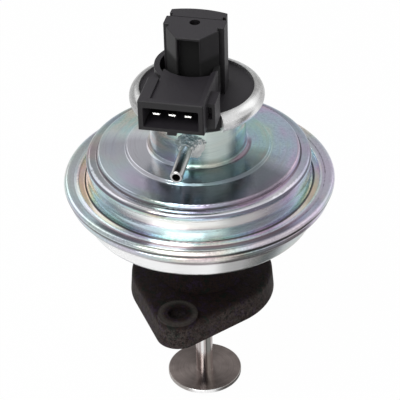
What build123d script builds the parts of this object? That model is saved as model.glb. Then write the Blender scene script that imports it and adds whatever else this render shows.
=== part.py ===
"""Vacuum-operated exhaust gas recirculation valve with a lift sensor.

The frame: the origin is the centre of the flange's mounting face, +Z runs up the stem,
and the flange's two bolt lobes lie on the Y axis. Everything is in millimetres.
The valve is drawn closed: the spring holds the stem down, and vacuum lifts it.
"""

from build123d import *
import os
from math import cos, radians, sin, sqrt, tan

os.makedirs("parts", exist_ok=True)

# Fits
running_gap = 0.05  # radial, a sliding rod in its bearing
press_gap = 0.01  # radial, a pressed-in or brazed piece in its seat
seat_gap = 0.05  # between stacked pieces of different materials
free_gap = 0.3  # a piece that only has to pass

# Cast flange
bolt_spacing = 56.5
bolt_hole_diameter = 6.6
barrel_diameter = 49.6
lobe_radius = 7.6
flange_thickness = 8.1
cast_draft = 4.5
cast_edge = 1.6
boss_diameter = 13.8
boss_height = 1.3
neck_foot_diameter = 31.0
neck_top_diameter = 24.0
pad_diameter = 40.0
pad_thickness = 4.5
relief_diameter = 16.0
relief_depth = 1.0

# Stem, its guide and the valve plate
stem_diameter = 6.0
guide_diameter = 10.0
guide_length = 21.0
seal_diameter = 15.0
seal_thickness = 3.0
retainer_thickness = 1.2
disc_diameter = 26.1
disc_thickness = 1.5
disc_drop = 37.5
rivet_head_diameter = 8.0
rivet_head_height = 1.1

# Lower shell, from its outer band inwards
band_radius = 44.0
pan_height = 31.9
gasket_thickness = 0.8
pan_wall = 1.2
pan_hole_margin = 2.3
pan_depth = 11.9
pan_bend = 4.0
wall_inset = 4.3
shoulder_inset = 2.4
shoulder_drop = 3.0
shoulder_bend = 1.0
roll_overhang = 1.0
roll_crest_inset = 0.4
roll_crest_rise = 0.1
crease_depth = 0.7
crease_drop = 0.5
band_bend = 1.5
lip_width = 4.0
lip_thickness = 0.85
lip_dip = 0.25
lip_bend = 0.3
dip_bend = 1.5
ledge_bend = 0.6
bead_width = 1.9
vent_diameter = 3.0
vent_circle_radius = 27.0
vent_count = 4
rivet_diameter = 5.0
rivet_top_diameter = 9.0
rivet_top_height = 1.6
rivet_length = 7.5
rivet_inset = 5.7
rivet_count = 3

# Diaphragm and the plates that carry it
membrane_thickness = 1.0
bead_thickness = 1.6
membrane_flat_margin = 1.0
membrane_inner_bend = 3.0
membrane_outer_bend = 2.5
plate_thickness = 1.2
plate_stop_gap = 0.9
lower_plate_inset = 6.0
cup_clearance = 5.8
cup_depth = 5.0
cup_bend = 2.5
journal_diameter = 5.0
nut_width = 8.0
nut_height = 4.0
stem_end_height = 1.2

# Upper shell: insets from the rolled lip inwards, and rises above its own flange
shell_wall = 1.0
dome_inset = 2.1
dome_foot_bend = 0.8
waist_inset = 0.95
waist_rise = 3.5
waist_bend = 4.0
wall_draft = 0.15
bead_rise = 7.0
bead_height = 2.5
bead_overhang = 0.4
bead_foot_bend = 0.2
bead_bend = 1.5
groove_inset = 3.5
groove_drop = 0.2
groove_bend = 0.5
deck_inset = 0.5
deck_step = 1.6
deck_bend = 0.7
step_radius = 24.1
step_foot_rise = 1.0
step_height = 0.95
step_foot_bend = 0.3
step_bend = 0.45
neck_radius = 15.8
neck_foot_rise = 0.25
neck_foot_bend = 1.6
neck_height = 16.2
collar_width = 4.3
collar_bend = 2.2

# Return spring and its seat
spring_radius = 19.0
spring_wire = 2.2
spring_turns = 4
spring_seat_inner_radius = 15.4
spring_seat_outer_radius = 21.9
spring_seat_thickness = 1.0
spring_seat_lip = 2.0

# Vacuum nipple
nipple_diameter = 4.0
nipple_foot_diameter = 4.6
nipple_bore = 2.6
nipple_reach = 34.6
nipple_rise = 9.1
nipple_bearing = 5.5
braze_radius = 4.4
braze_length = 3.2

# Crimp ring
crimp_inner_radius = 18.6
crimp_lip = 1.05
crimp_opening = 70.0

# Position sensor: the whole sensor is turned a little against the bolt line
sensor_clocking = 4.3
sensor_flange_thickness = 3.5
hub_length = 5.4
seal_section = 2.0
seal_drop = 2.9
chamber_half_width = 6.3
chamber_front = 6.4
chamber_floor = 2.2
tower_height = 24.0
tower_half_width = 9.8
tower_front = 10.3
tower_front_half_width = 3.9
chamfer_end_half_width = 8.7
chamfer_end_front = 3.8
side_groove_depth = 1.9
side_groove_width = 1.7
split_back = 3.0
top_wall = 2.0
top_hole_diameter = 3.4
recess_half_width = 3.5
recess_depth = 3.0
recess_top_land = 0.8
cover_half_width = 9.1
cover_side_back = 7.2
cover_back = 8.7
cover_notch = 1.6
cover_notch_depth = 1.0
cover_pocket_back = 6.2
cover_floor = 2.0

# Connector shroud
shroud_offset = -1.7
shroud_width = 20.8
shroud_front = 29.2
shroud_height = 10.7
socket_width = 17.5
socket_height = 6.9
socket_floor = 1.4
socket_depth = 14.0
panel_depth = 0.8
shroud_edge = 0.5
tower_edge = 0.2
front_corner = 0.5
tower_corner = 0.3
groove_corner = 0.15
panel_front_border = 2.0
panel_left_border = 3.6
panel_right_border = 1.8
well_radius = 11.6
well_depth = 3.6
side_wall = 1.5
left_border_back = 15.0
left_step_depth = 3.8
collar_wall = 1.8
collar_height = 9.2
collar_front_trim = 6.0
collar_back = 8.0
key_radius = 21.4
key_half_angle = 32.0
catch_width = 2.9
catch_length = 2.6
catch_height = 1.4
catch_setback = 0.8
wing_front = 24.6
wing_length = 7.6
wing_width = 2.6
wing_height = 8.9
slot_border = 0.15
slot_width = 1.55
slot_height = 4.3
slot_depth = 3.0
slot_floor = 3.4

# Terminals, resistor card and wiper
terminal_pitch = 5.0
terminal_count = 3
terminal_width = 2.5
terminal_thickness = 0.8
terminal_recess = 2.2
terminal_point = 0.35
card_half_width = 5.8
card_thickness = 1.0
card_rise = 0.5
card_height = 20.4
plunger_diameter = 4.0
spigot_diameter = 3.0
spigot_length = 3.0
carrier_half_width = 5.9
carrier_half_depth = 3.0
carrier_height = 8.0
carrier_rise = 4.6
contact_width = 1.6
contact_spread = 3.0
contact_thickness = 0.3
plunger_spring_radius = 2.6
plunger_spring_wire = 0.6
plunger_spring_turns = 6

# Radii that follow from the sizes above
rim_radius = band_radius + roll_overhang
rim_crest_radius = band_radius - roll_crest_inset
shoulder_radius = band_radius - shoulder_inset
pan_corner_radius = shoulder_radius - wall_inset
ledge_radius = band_radius - pan_wall - bead_width
lip_radius = band_radius - lip_width
lip_dip_radius = (lip_radius + rim_crest_radius) / 2
dome_foot_radius = lip_radius - dome_inset
waist_radius = dome_foot_radius - waist_inset
wall_top_radius = waist_radius - wall_draft
bead_radius = wall_top_radius + bead_overhang
groove_radius = bead_radius - groove_inset
deck_radius = groove_radius - deck_inset
collar_radius = neck_radius + collar_width
cup_radius = wall_top_radius - shell_wall - cup_clearance
lower_plate_radius = cup_radius - lower_plate_inset
rivet_circle_radius = pad_diameter / 2 - rivet_inset
pan_hole_radius = rivet_circle_radius - rivet_diameter / 2 - pan_hole_margin
membrane_flat_radius = cup_radius + membrane_flat_margin

# Levels that follow from the sizes above
pad_top = pan_height - gasket_thickness
pan_floor = pan_height + pan_wall
clamp_height = pan_height + pan_depth
lower_plate_height = pan_floor + rivet_top_height + plate_stop_gap
disc_top = -disc_drop
seal_bottom = pad_top - retainer_thickness - seal_thickness
shell_flange_under = clamp_height + bead_thickness
shell_flange_top = shell_flange_under + shell_wall
crease_height = shell_flange_under - crease_drop
lower_plate_top = lower_plate_height + plate_thickness
membrane_top = lower_plate_top + membrane_thickness
cup_floor = membrane_top + plate_thickness
nut_top = cup_floor + nut_height
stem_top = nut_top + stem_end_height
bead_crest = shell_flange_top + bead_rise + bead_height
groove_height = bead_crest - groove_drop
deck_height = groove_height + deck_step
step_foot = deck_height + step_foot_rise
step_top = step_foot + step_height
neck_foot = step_top + neck_foot_rise
inner_deck = step_top - shell_wall
spring_seat_under = inner_deck - seat_gap - spring_seat_thickness
collar_under = neck_foot + neck_height
sensor_bottom = collar_under + shell_wall
sensor_deck = sensor_bottom + sensor_flange_thickness
hub_bottom = sensor_bottom - hub_length
tower_top = sensor_deck + tower_height
shroud_rise = crimp_lip + seat_gap
shroud_bottom = sensor_deck + shroud_rise
shroud_top = shroud_bottom + shroud_height
socket_bottom = shroud_bottom + socket_floor
terminal_level = socket_bottom + socket_height / 2
chamber_bottom = hub_bottom + chamber_floor
carrier_bottom = chamber_bottom + carrier_rise
carrier_top = carrier_bottom + carrier_height
chamber_top = tower_top - top_wall
card_bottom = sensor_deck + card_rise
neck_bore_radius = neck_radius - shell_wall
stem_radius = stem_diameter / 2
journal_radius = journal_diameter / 2
plunger_radius = plunger_diameter / 2
nipple_height = neck_foot + nipple_rise
shroud_left = shroud_offset - shroud_width / 2
shroud_right = shroud_offset + shroud_width / 2

# The sensor's own frame, and the planes drawn on in it
sensor_frame = Plane.XY.rotated((0, 0, sensor_clocking))


def sensor_level(height):
    """The sensor's horizontal plane at a height."""
    return sensor_frame.offset(height)


def sensor_front(distance):
    """An upright plane across the sensor, facing its connector, at a distance from the stem."""
    origin = sensor_frame.from_local_coords(Vector(0, -distance, 0))
    return Plane(origin, x_dir=sensor_frame.x_dir, z_dir=-sensor_frame.y_dir)


def sensor_side(distance):
    """An upright plane along the sensor, facing its right side, at a distance from the stem."""
    origin = sensor_frame.from_local_coords(Vector(distance, 0, 0))
    return Plane(origin, x_dir=sensor_frame.y_dir, z_dir=sensor_frame.x_dir)


def upright_plane(bearing):
    """The half plane through the stem's axis that lies at a bearing from the front lobe."""
    turn = radians(bearing)
    return Plane((0, 0, 0), x_dir=(sin(turn), -cos(turn), 0), z_dir=(-cos(turn), -sin(turn), 0))


def facing_plane(bearing, height):
    """The plane through the stem's axis at a height, square to a bearing from the front lobe."""
    turn = radians(bearing)
    return Plane((0, 0, height), x_dir=(cos(turn), sin(turn), 0), z_dir=(sin(turn), -cos(turn), 0))


def between(low, high):
    """The middle and the length of a span."""
    return (low + high) / 2, high - low


def one_wall_in(path, bends, wall):
    """A bent path and its bend radii, moved one wall to the left."""
    corners = [Vector(*corner) for corner in path]
    runs = [(after - before).normalized() for before, after in zip(corners, corners[1:])]
    lefts = [run.rotate(Axis.Z, 90) for run in runs]
    pairs = zip([lefts[0]] + lefts, lefts + [lefts[-1]])
    mitres = [(before + after) / (1 + before.dot(after)) for before, after in pairs]
    moved = [corner + mitre * wall for corner, mitre in zip(corners, mitres)]
    turns = [before.cross(after).Z for before, after in zip(runs, runs[1:])]
    sharpest = 0.15
    radii = [max(bend - wall, sharpest) if turn > 0 else bend + wall for bend, turn in zip(bends, turns)]
    return moved, radii


# The cast flange: drafted plate with two bolt lobes and bosses, a waisted neck and a pad
with BuildPart() as flange_casting:
    for height in (0, flange_thickness):
        inset = height * tan(radians(cast_draft))
        with BuildSketch(Plane.XY.offset(height)):
            Circle(barrel_diameter / 2 - inset)
            with Locations((0, bolt_spacing / 2), (0, -bolt_spacing / 2)):
                Circle(lobe_radius - inset)
            make_hull()
    loft(ruled=True)
    fillet(flange_casting.faces().sort_by(Axis.Z)[-1].edges(), radius=cast_edge)
    with BuildSketch(Plane.XY.offset(flange_thickness - cast_edge)):
        with Locations((0, bolt_spacing / 2), (0, -bolt_spacing / 2)):
            Circle(boss_diameter / 2)
    extrude(amount=cast_edge + boss_height, taper=cast_draft)
    with BuildSketch(Plane.XZ):
        with BuildLine():
            Polyline(
                (0, flange_thickness / 2),
                (neck_foot_diameter / 2, flange_thickness / 2),
                (neck_foot_diameter / 2, flange_thickness),
            )
            Spline(
                (neck_foot_diameter / 2, flange_thickness),
                (neck_top_diameter / 2, (flange_thickness + pad_top - pad_thickness) / 2),
                (pad_diameter / 2 - cast_edge, pad_top - pad_thickness),
                tangents=[(-1, 0.6), (1, 0.5)],
            )
            Polyline(
                (pad_diameter / 2 - cast_edge, pad_top - pad_thickness),
                (pad_diameter / 2, pad_top - pad_thickness + cast_edge),
                (pad_diameter / 2, pad_top),
                (0, pad_top),
                (0, flange_thickness / 2),
            )
        make_face()
    revolve(axis=Axis.Z)
    with Locations((0, bolt_spacing / 2, 0), (0, -bolt_spacing / 2, 0)):
        Cylinder(
            bolt_hole_diameter / 2,
            3 * (flange_thickness + boss_height),
            mode=Mode.SUBTRACT,
        )
    with BuildSketch():
        Circle(relief_diameter / 2)
    extrude(amount=relief_depth, mode=Mode.SUBTRACT)
    with BuildSketch():
        Circle(guide_diameter / 2)
    extrude(amount=pad_top, mode=Mode.SUBTRACT)
    with BuildSketch(Plane.XY.offset(seal_bottom)):
        Circle(seal_diameter / 2)
    extrude(amount=seal_thickness + retainer_thickness, mode=Mode.SUBTRACT)
    with BuildSketch(Plane.XY.offset(pad_top)):
        with PolarLocations(rivet_circle_radius, rivet_count):
            Circle(rivet_diameter / 2)
    extrude(amount=-(rivet_length - pan_wall - gasket_thickness + free_gap), mode=Mode.SUBTRACT)
flange_casting.part.label = "flange_casting"
export_step(flange_casting.part, "parts/flange_casting.step")

# The sintered bush that guides the stem
with BuildPart() as stem_guide:
    with BuildSketch(Plane.XY.offset(seal_bottom - guide_length)):
        Circle(guide_diameter / 2 - press_gap)
        Circle(stem_radius + running_gap, mode=Mode.SUBTRACT)
    extrude(amount=guide_length)
    chamfer(stem_guide.faces().sort_by(Axis.Z)[0].outer_wire().edges(), length=0.5)
stem_guide.part.label = "stem_guide"
export_step(stem_guide.part, "parts/stem_guide.step")

# The stem's graphite seal, and the pressed washer that keeps it in the pad
with BuildPart() as stem_seal:
    with BuildSketch(Plane.XY.offset(seal_bottom)):
        Circle(seal_diameter / 2 - press_gap)
        Circle(stem_radius + running_gap, mode=Mode.SUBTRACT)
    extrude(amount=seal_thickness)
stem_seal.part.label = "stem_seal"
export_step(stem_seal.part, "parts/stem_seal.step")

with BuildPart() as seal_retainer:
    with BuildSketch(Plane.XY.offset(pad_top - retainer_thickness)):
        Circle(seal_diameter / 2 - press_gap)
        Circle(stem_radius + free_gap, mode=Mode.SUBTRACT)
    extrude(amount=retainer_thickness)
seal_retainer.part.label = "seal_retainer"
export_step(seal_retainer.part, "parts/seal_retainer.step")

# The gasket between the casting's pad and the lower shell
with BuildPart() as shell_gasket:
    with BuildSketch(Plane.XY.offset(pad_top)):
        Circle(pad_diameter / 2 - cast_edge)
        Circle(pan_hole_radius, mode=Mode.SUBTRACT)
        with PolarLocations(rivet_circle_radius, rivet_count):
            Circle(rivet_diameter / 2 + seat_gap, mode=Mode.SUBTRACT)
    extrude(amount=gasket_thickness)
shell_gasket.part.label = "shell_gasket"
export_step(shell_gasket.part, "parts/shell_gasket.step")

# The lower shell: a pressed pan whose rim carries the diaphragm's bead and is rolled over
# the upper shell's flange
with BuildPart() as lower_shell:
    with BuildSketch(Plane.XZ):
        with BuildLine():
            outside = FilletPolyline(
                (pan_hole_radius, pan_height),
                (pan_corner_radius, pan_height),
                (shoulder_radius, clamp_height - shoulder_drop),
                (band_radius, clamp_height - pan_wall),
                (band_radius, crease_height - crease_depth),
                radius=[pan_bend, shoulder_bend, band_bend],
            )
            crease = (band_radius - crease_depth, crease_height)
            roll_crest = (rim_crest_radius, shell_flange_top + lip_thickness + roll_crest_rise)
            roll_side = (rim_radius, (crease_height + roll_crest[1]) / 2)
            Line(outside @ 1, crease)
            ThreePointArc(crease, roll_side, roll_crest)
            wall_slope = (shoulder_radius - pan_corner_radius) / (clamp_height - shoulder_drop - pan_height)
            inner_corner = pan_corner_radius + wall_slope * pan_wall - pan_wall * sqrt(1 + wall_slope**2)
            inner_shoulder = shoulder_radius - pan_wall * sqrt(1 + wall_slope**2)
            lip = FilletPolyline(
                roll_crest,
                (lip_dip_radius, shell_flange_top + lip_thickness - lip_dip),
                (lip_radius, shell_flange_top + lip_thickness),
                (lip_radius, shell_flange_top),
                radius=[dip_bend, lip_bend],
            )
            Polyline(
                lip @ 1,
                (band_radius - pan_wall, shell_flange_top),
                (band_radius - pan_wall, clamp_height),
                (ledge_radius, clamp_height),
            )
            inside = FilletPolyline(
                (ledge_radius, clamp_height),
                (inner_shoulder, clamp_height - shoulder_drop),
                (inner_corner, pan_floor),
                (pan_hole_radius, pan_floor),
                radius=[ledge_bend, pan_bend - pan_wall],
            )
            Line(inside @ 1, outside @ 0)
        make_face()
    revolve(axis=Axis.Z)
    with BuildSketch(Plane.XY.offset(pan_height)):
        with PolarLocations(rivet_circle_radius, rivet_count):
            Circle(rivet_diameter / 2 + seat_gap)
        with PolarLocations(vent_circle_radius, vent_count, start_angle=45):
            Circle(vent_diameter / 2)
    extrude(amount=pan_wall, mode=Mode.SUBTRACT)
lower_shell.part.label = "lower_shell"
export_step(lower_shell.part, "parts/lower_shell.step")

# The three rivets that hold the lower shell to the casting, one group
with BuildPart() as shell_rivets:
    with BuildSketch(Plane.XY.offset(pan_floor)):
        with PolarLocations(rivet_circle_radius, rivet_count):
            Circle(rivet_top_diameter / 2)
    extrude(amount=rivet_top_height)
    fillet(shell_rivets.faces().group_by(Axis.Z)[-1].edges(), radius=rivet_top_height / 2)
    with BuildSketch(Plane.XY.offset(pan_floor)):
        with PolarLocations(rivet_circle_radius, rivet_count):
            Circle(rivet_diameter / 2 - press_gap)
    extrude(amount=-rivet_length)
shell_rivets.part.label = "shell_rivets"
export_step(shell_rivets.part, "parts/shell_rivets.step")

# The stem: a ground rod with a shouldered journal for the diaphragm's plates
with BuildPart() as valve_stem:
    with BuildSketch(Plane.XZ):
        with BuildLine():
            Polyline(
                (rivet_head_diameter / 2, disc_top - disc_thickness),
                (journal_radius, disc_top - disc_thickness),
                (journal_radius, disc_top),
                (stem_radius, disc_top),
                (stem_radius, lower_plate_height),
                (journal_radius, lower_plate_height),
                (journal_radius, stem_top - 0.5),
                (journal_radius - 0.5, stem_top),
                (0, stem_top),
                (0, disc_top - disc_thickness - rivet_head_height),
            )
            head_bulge = rivet_head_diameter / 2, disc_top - disc_thickness
            ThreePointArc(
                (0, disc_top - disc_thickness - rivet_head_height),
                (0.6 * head_bulge[0], head_bulge[1] - 0.7 * rivet_head_height),
                head_bulge,
            )
        make_face()
    revolve(axis=Axis.Z)
valve_stem.part.label = "valve_stem"
export_step(valve_stem.part, "parts/valve_stem.step")

# The poppet's plate, riveted on the stem's lower end
with BuildPart() as valve_disc:
    with BuildSketch(Plane.XY.offset(disc_top - disc_thickness)):
        Circle(disc_diameter / 2)
    extrude(amount=disc_thickness)
    fillet(valve_disc.edges(), radius=0.25)
    with Locations((0, 0, disc_top)):
        Cylinder(journal_radius + press_gap, 3 * disc_thickness, mode=Mode.SUBTRACT)
valve_disc.part.label = "valve_disc"
export_step(valve_disc.part, "parts/valve_disc.step")

# The plates that grip the diaphragm: a flat one below and a spring cup above
with BuildPart() as lower_plate:
    with BuildSketch(Plane.XY.offset(lower_plate_height)):
        Circle(lower_plate_radius)
        Circle(journal_radius + seat_gap, mode=Mode.SUBTRACT)
    extrude(amount=plate_thickness)
    fillet(lower_plate.edges().sort_by(SortBy.LENGTH)[-2:], radius=plate_thickness / 3)
lower_plate.part.label = "lower_plate"
export_step(lower_plate.part, "parts/lower_plate.step")

with BuildPart() as diaphragm_cup:
    with BuildSketch(Plane.XZ):
        with BuildLine():
            cup_path = [
                (journal_radius + seat_gap, membrane_top),
                (cup_radius, membrane_top),
                (cup_radius, membrane_top + cup_depth),
            ]
            cup_inside, cup_bends = one_wall_in(cup_path, [cup_bend], plate_thickness)
            cup_outer = FilletPolyline(*cup_path, radius=[cup_bend])
            cup_inner = FilletPolyline(*cup_inside, radius=cup_bends)
            Line(cup_outer @ 0, cup_inner @ 0)
            Line(cup_outer @ 1, cup_inner @ 1)
        make_face()
    revolve(axis=Axis.Z)
diaphragm_cup.part.label = "diaphragm_cup"
export_step(diaphragm_cup.part, "parts/diaphragm_cup.step")

# The rubber diaphragm: flat between the plates, sloping out to a bead held by the rim
with BuildPart() as diaphragm:
    with BuildSketch(Plane.XZ):
        with BuildLine():
            membrane_path = [
                (journal_radius + seat_gap, lower_plate_top),
                (membrane_flat_radius, lower_plate_top),
                (ledge_radius - membrane_flat_margin, clamp_height),
                (band_radius - pan_wall - seat_gap, clamp_height),
            ]
            membrane_bends = [membrane_inner_bend, membrane_outer_bend]
            membrane_inside, inside_bends = one_wall_in(membrane_path, membrane_bends, membrane_thickness)
            below = FilletPolyline(*membrane_path, radius=membrane_bends)
            above = FilletPolyline(*membrane_inside, radius=inside_bends)
            Line(below @ 0, above @ 0)
            Line(below @ 1, above @ 1)
        make_face()
        with BuildLine():
            bead_inner = ledge_radius + seat_gap
            bead_outer = band_radius - pan_wall - seat_gap
            Polyline(
                (bead_inner, clamp_height),
                (bead_outer, clamp_height),
                (bead_outer, shell_flange_under),
                (bead_inner, shell_flange_under),
                close=True,
            )
        make_face()
    revolve(axis=Axis.Z)
diaphragm.part.label = "diaphragm"
export_step(diaphragm.part, "parts/diaphragm.step")

# The nut that clamps the plates and the diaphragm on the stem
with BuildPart() as stem_nut:
    with BuildSketch(Plane.XY.offset(cup_floor)):
        RegularPolygon(nut_width / 2, 6, major_radius=False)
        Circle(journal_radius + press_gap, mode=Mode.SUBTRACT)
    extrude(amount=nut_height)
stem_nut.part.label = "stem_nut"
export_step(stem_nut.part, "parts/stem_nut.step")

nipple_plane = facing_plane(nipple_bearing, nipple_height)

# The upper shell: one pressing, from its flange in under the rolled rim, up the dome with
# its bead and steps, to the neck and the small collar that carries the sensor
with BuildPart() as upper_shell:
    with BuildSketch(Plane.XZ):
        with BuildLine():
            shell_path = [
                (band_radius - pan_wall - seat_gap, shell_flange_top),
                (dome_foot_radius, shell_flange_top),
                (waist_radius, shell_flange_top + waist_rise),
                (wall_top_radius, shell_flange_top + bead_rise),
                (bead_radius, shell_flange_top + bead_rise + bead_overhang),
                (bead_radius, bead_crest),
                (groove_radius, groove_height),
                (deck_radius, deck_height),
                (step_radius, step_foot),
                (step_radius - step_height / 2, step_top),
                (neck_radius, neck_foot),
                (neck_radius, collar_under),
                (collar_radius, collar_under),
            ]
            shell_bends = [
                dome_foot_bend,
                waist_bend,
                bead_foot_bend,
                bead_foot_bend,
                bead_bend,
                groove_bend,
                deck_bend,
                step_foot_bend,
                step_bend,
                neck_foot_bend,
                collar_bend,
            ]
            shell_inside, shell_inside_bends = one_wall_in(shell_path, shell_bends, shell_wall)
            shell_outer = FilletPolyline(*shell_path, radius=shell_bends)
            shell_inner = FilletPolyline(*shell_inside, radius=shell_inside_bends)
            Line(shell_outer @ 0, shell_inner @ 0)
            Line(shell_outer @ 1, shell_inner @ 1)
        make_face()
    revolve(axis=Axis.Z)
    with BuildSketch(nipple_plane):
        Circle(nipple_foot_diameter / 2 + press_gap)
    extrude(amount=neck_radius + shell_wall, mode=Mode.SUBTRACT)
upper_shell.part.label = "upper_shell"
export_step(upper_shell.part, "parts/upper_shell.step")

# The vacuum nipple, a tube with a wider foot through the neck's wall, and its braze
with BuildPart() as vacuum_nipple:
    with BuildSketch(nipple_plane.offset(neck_bore_radius - shell_wall)):
        Circle(nipple_diameter / 2)
        Circle(nipple_bore / 2, mode=Mode.SUBTRACT)
    extrude(amount=nipple_reach - neck_bore_radius + shell_wall)
    with BuildSketch(nipple_plane.offset(neck_bore_radius - shell_wall)):
        Circle(nipple_foot_diameter / 2)
        Circle(nipple_bore / 2, mode=Mode.SUBTRACT)
    extrude(amount=shell_wall + shell_wall + braze_length + free_gap)
    nipple_end = vacuum_nipple.faces().sort_by(Axis(nipple_plane.origin, nipple_plane.z_dir))[-1]
    chamfer(nipple_end.outer_wire().edges(), length=0.25)
vacuum_nipple.part.label = "vacuum_nipple"
export_step(vacuum_nipple.part, "parts/vacuum_nipple.step")

with BuildPart() as nipple_braze:
    with BuildSketch(nipple_plane.offset(neck_bore_radius)):
        Circle(braze_radius)
    extrude(amount=shell_wall + braze_length, taper=20)
    with Locations((0, 0, nipple_height)):
        Cylinder(neck_radius, 6 * braze_radius, mode=Mode.SUBTRACT)
    with BuildSketch(nipple_plane):
        Circle(nipple_foot_diameter / 2 + press_gap)
    extrude(amount=nipple_reach, mode=Mode.SUBTRACT)
nipple_braze.part.label = "nipple_braze"
export_step(nipple_braze.part, "parts/nipple_braze.step")

# The return spring, between the cup and a pressed seat under the dome
spring_foot = cup_floor + seat_gap + spring_wire / 2
spring_rise = spring_seat_under - seat_gap - spring_wire / 2 - spring_foot
with BuildPart() as return_spring:
    with BuildLine() as spring_line:
        Helix(spring_rise / spring_turns, spring_rise, spring_radius, center=(0, 0, spring_foot))
    with BuildSketch(Plane(spring_line.line @ 0, z_dir=spring_line.line % 0)):
        RegularPolygon(spring_wire / 2, 8)
    sweep(is_frenet=True)
return_spring.part.label = "return_spring"
export_step(return_spring.part, "parts/return_spring.step")

with BuildPart() as spring_seat:
    with BuildSketch(Plane.XZ):
        with BuildLine():
            seat_path = [
                (spring_seat_outer_radius, spring_seat_under + spring_seat_thickness),
                (spring_seat_inner_radius, spring_seat_under + spring_seat_thickness),
                (spring_seat_inner_radius, spring_seat_under - spring_seat_lip),
            ]
            seat_inside, seat_bends = one_wall_in(seat_path, [1.2], spring_seat_thickness)
            seat_outer = FilletPolyline(*seat_path, radius=[1.2])
            seat_inner = FilletPolyline(*seat_inside, radius=seat_bends)
            Line(seat_outer @ 0, seat_inner @ 0)
            Line(seat_outer @ 1, seat_inner @ 1)
        make_face()
    revolve(axis=Axis.Z)
spring_seat.part.label = "spring_seat"
export_step(spring_seat.part, "parts/spring_seat.step")

# The crimp ring: a C-section rolled over the sensor's flange and the neck's collar,
# open where the connector passes
with BuildPart() as crimp_ring:
    with BuildSketch(upright_plane(sensor_clocking + crimp_opening / 2)):
        with BuildLine():
            crimp_top = sensor_deck + crimp_lip
            crimp_bottom = collar_under - crimp_lip
            crimp_radius = (crimp_top - crimp_bottom) / 2
            ThreePointArc(
                (crimp_inner_radius, crimp_top),
                (crimp_inner_radius + crimp_radius, crimp_top - crimp_radius),
                (crimp_inner_radius, crimp_bottom),
            )
            Polyline(
                (crimp_inner_radius, crimp_bottom),
                (crimp_inner_radius, collar_under),
                (collar_radius + seat_gap, collar_under),
                (collar_radius + seat_gap, sensor_deck),
                (crimp_inner_radius, sensor_deck),
                (crimp_inner_radius, crimp_top),
            )
        make_face()
    revolve(axis=Axis.Z, revolution_arc=360 - crimp_opening)
crimp_ring.part.label = "crimp_ring"
export_step(crimp_ring.part, "parts/crimp_ring.step")

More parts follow.
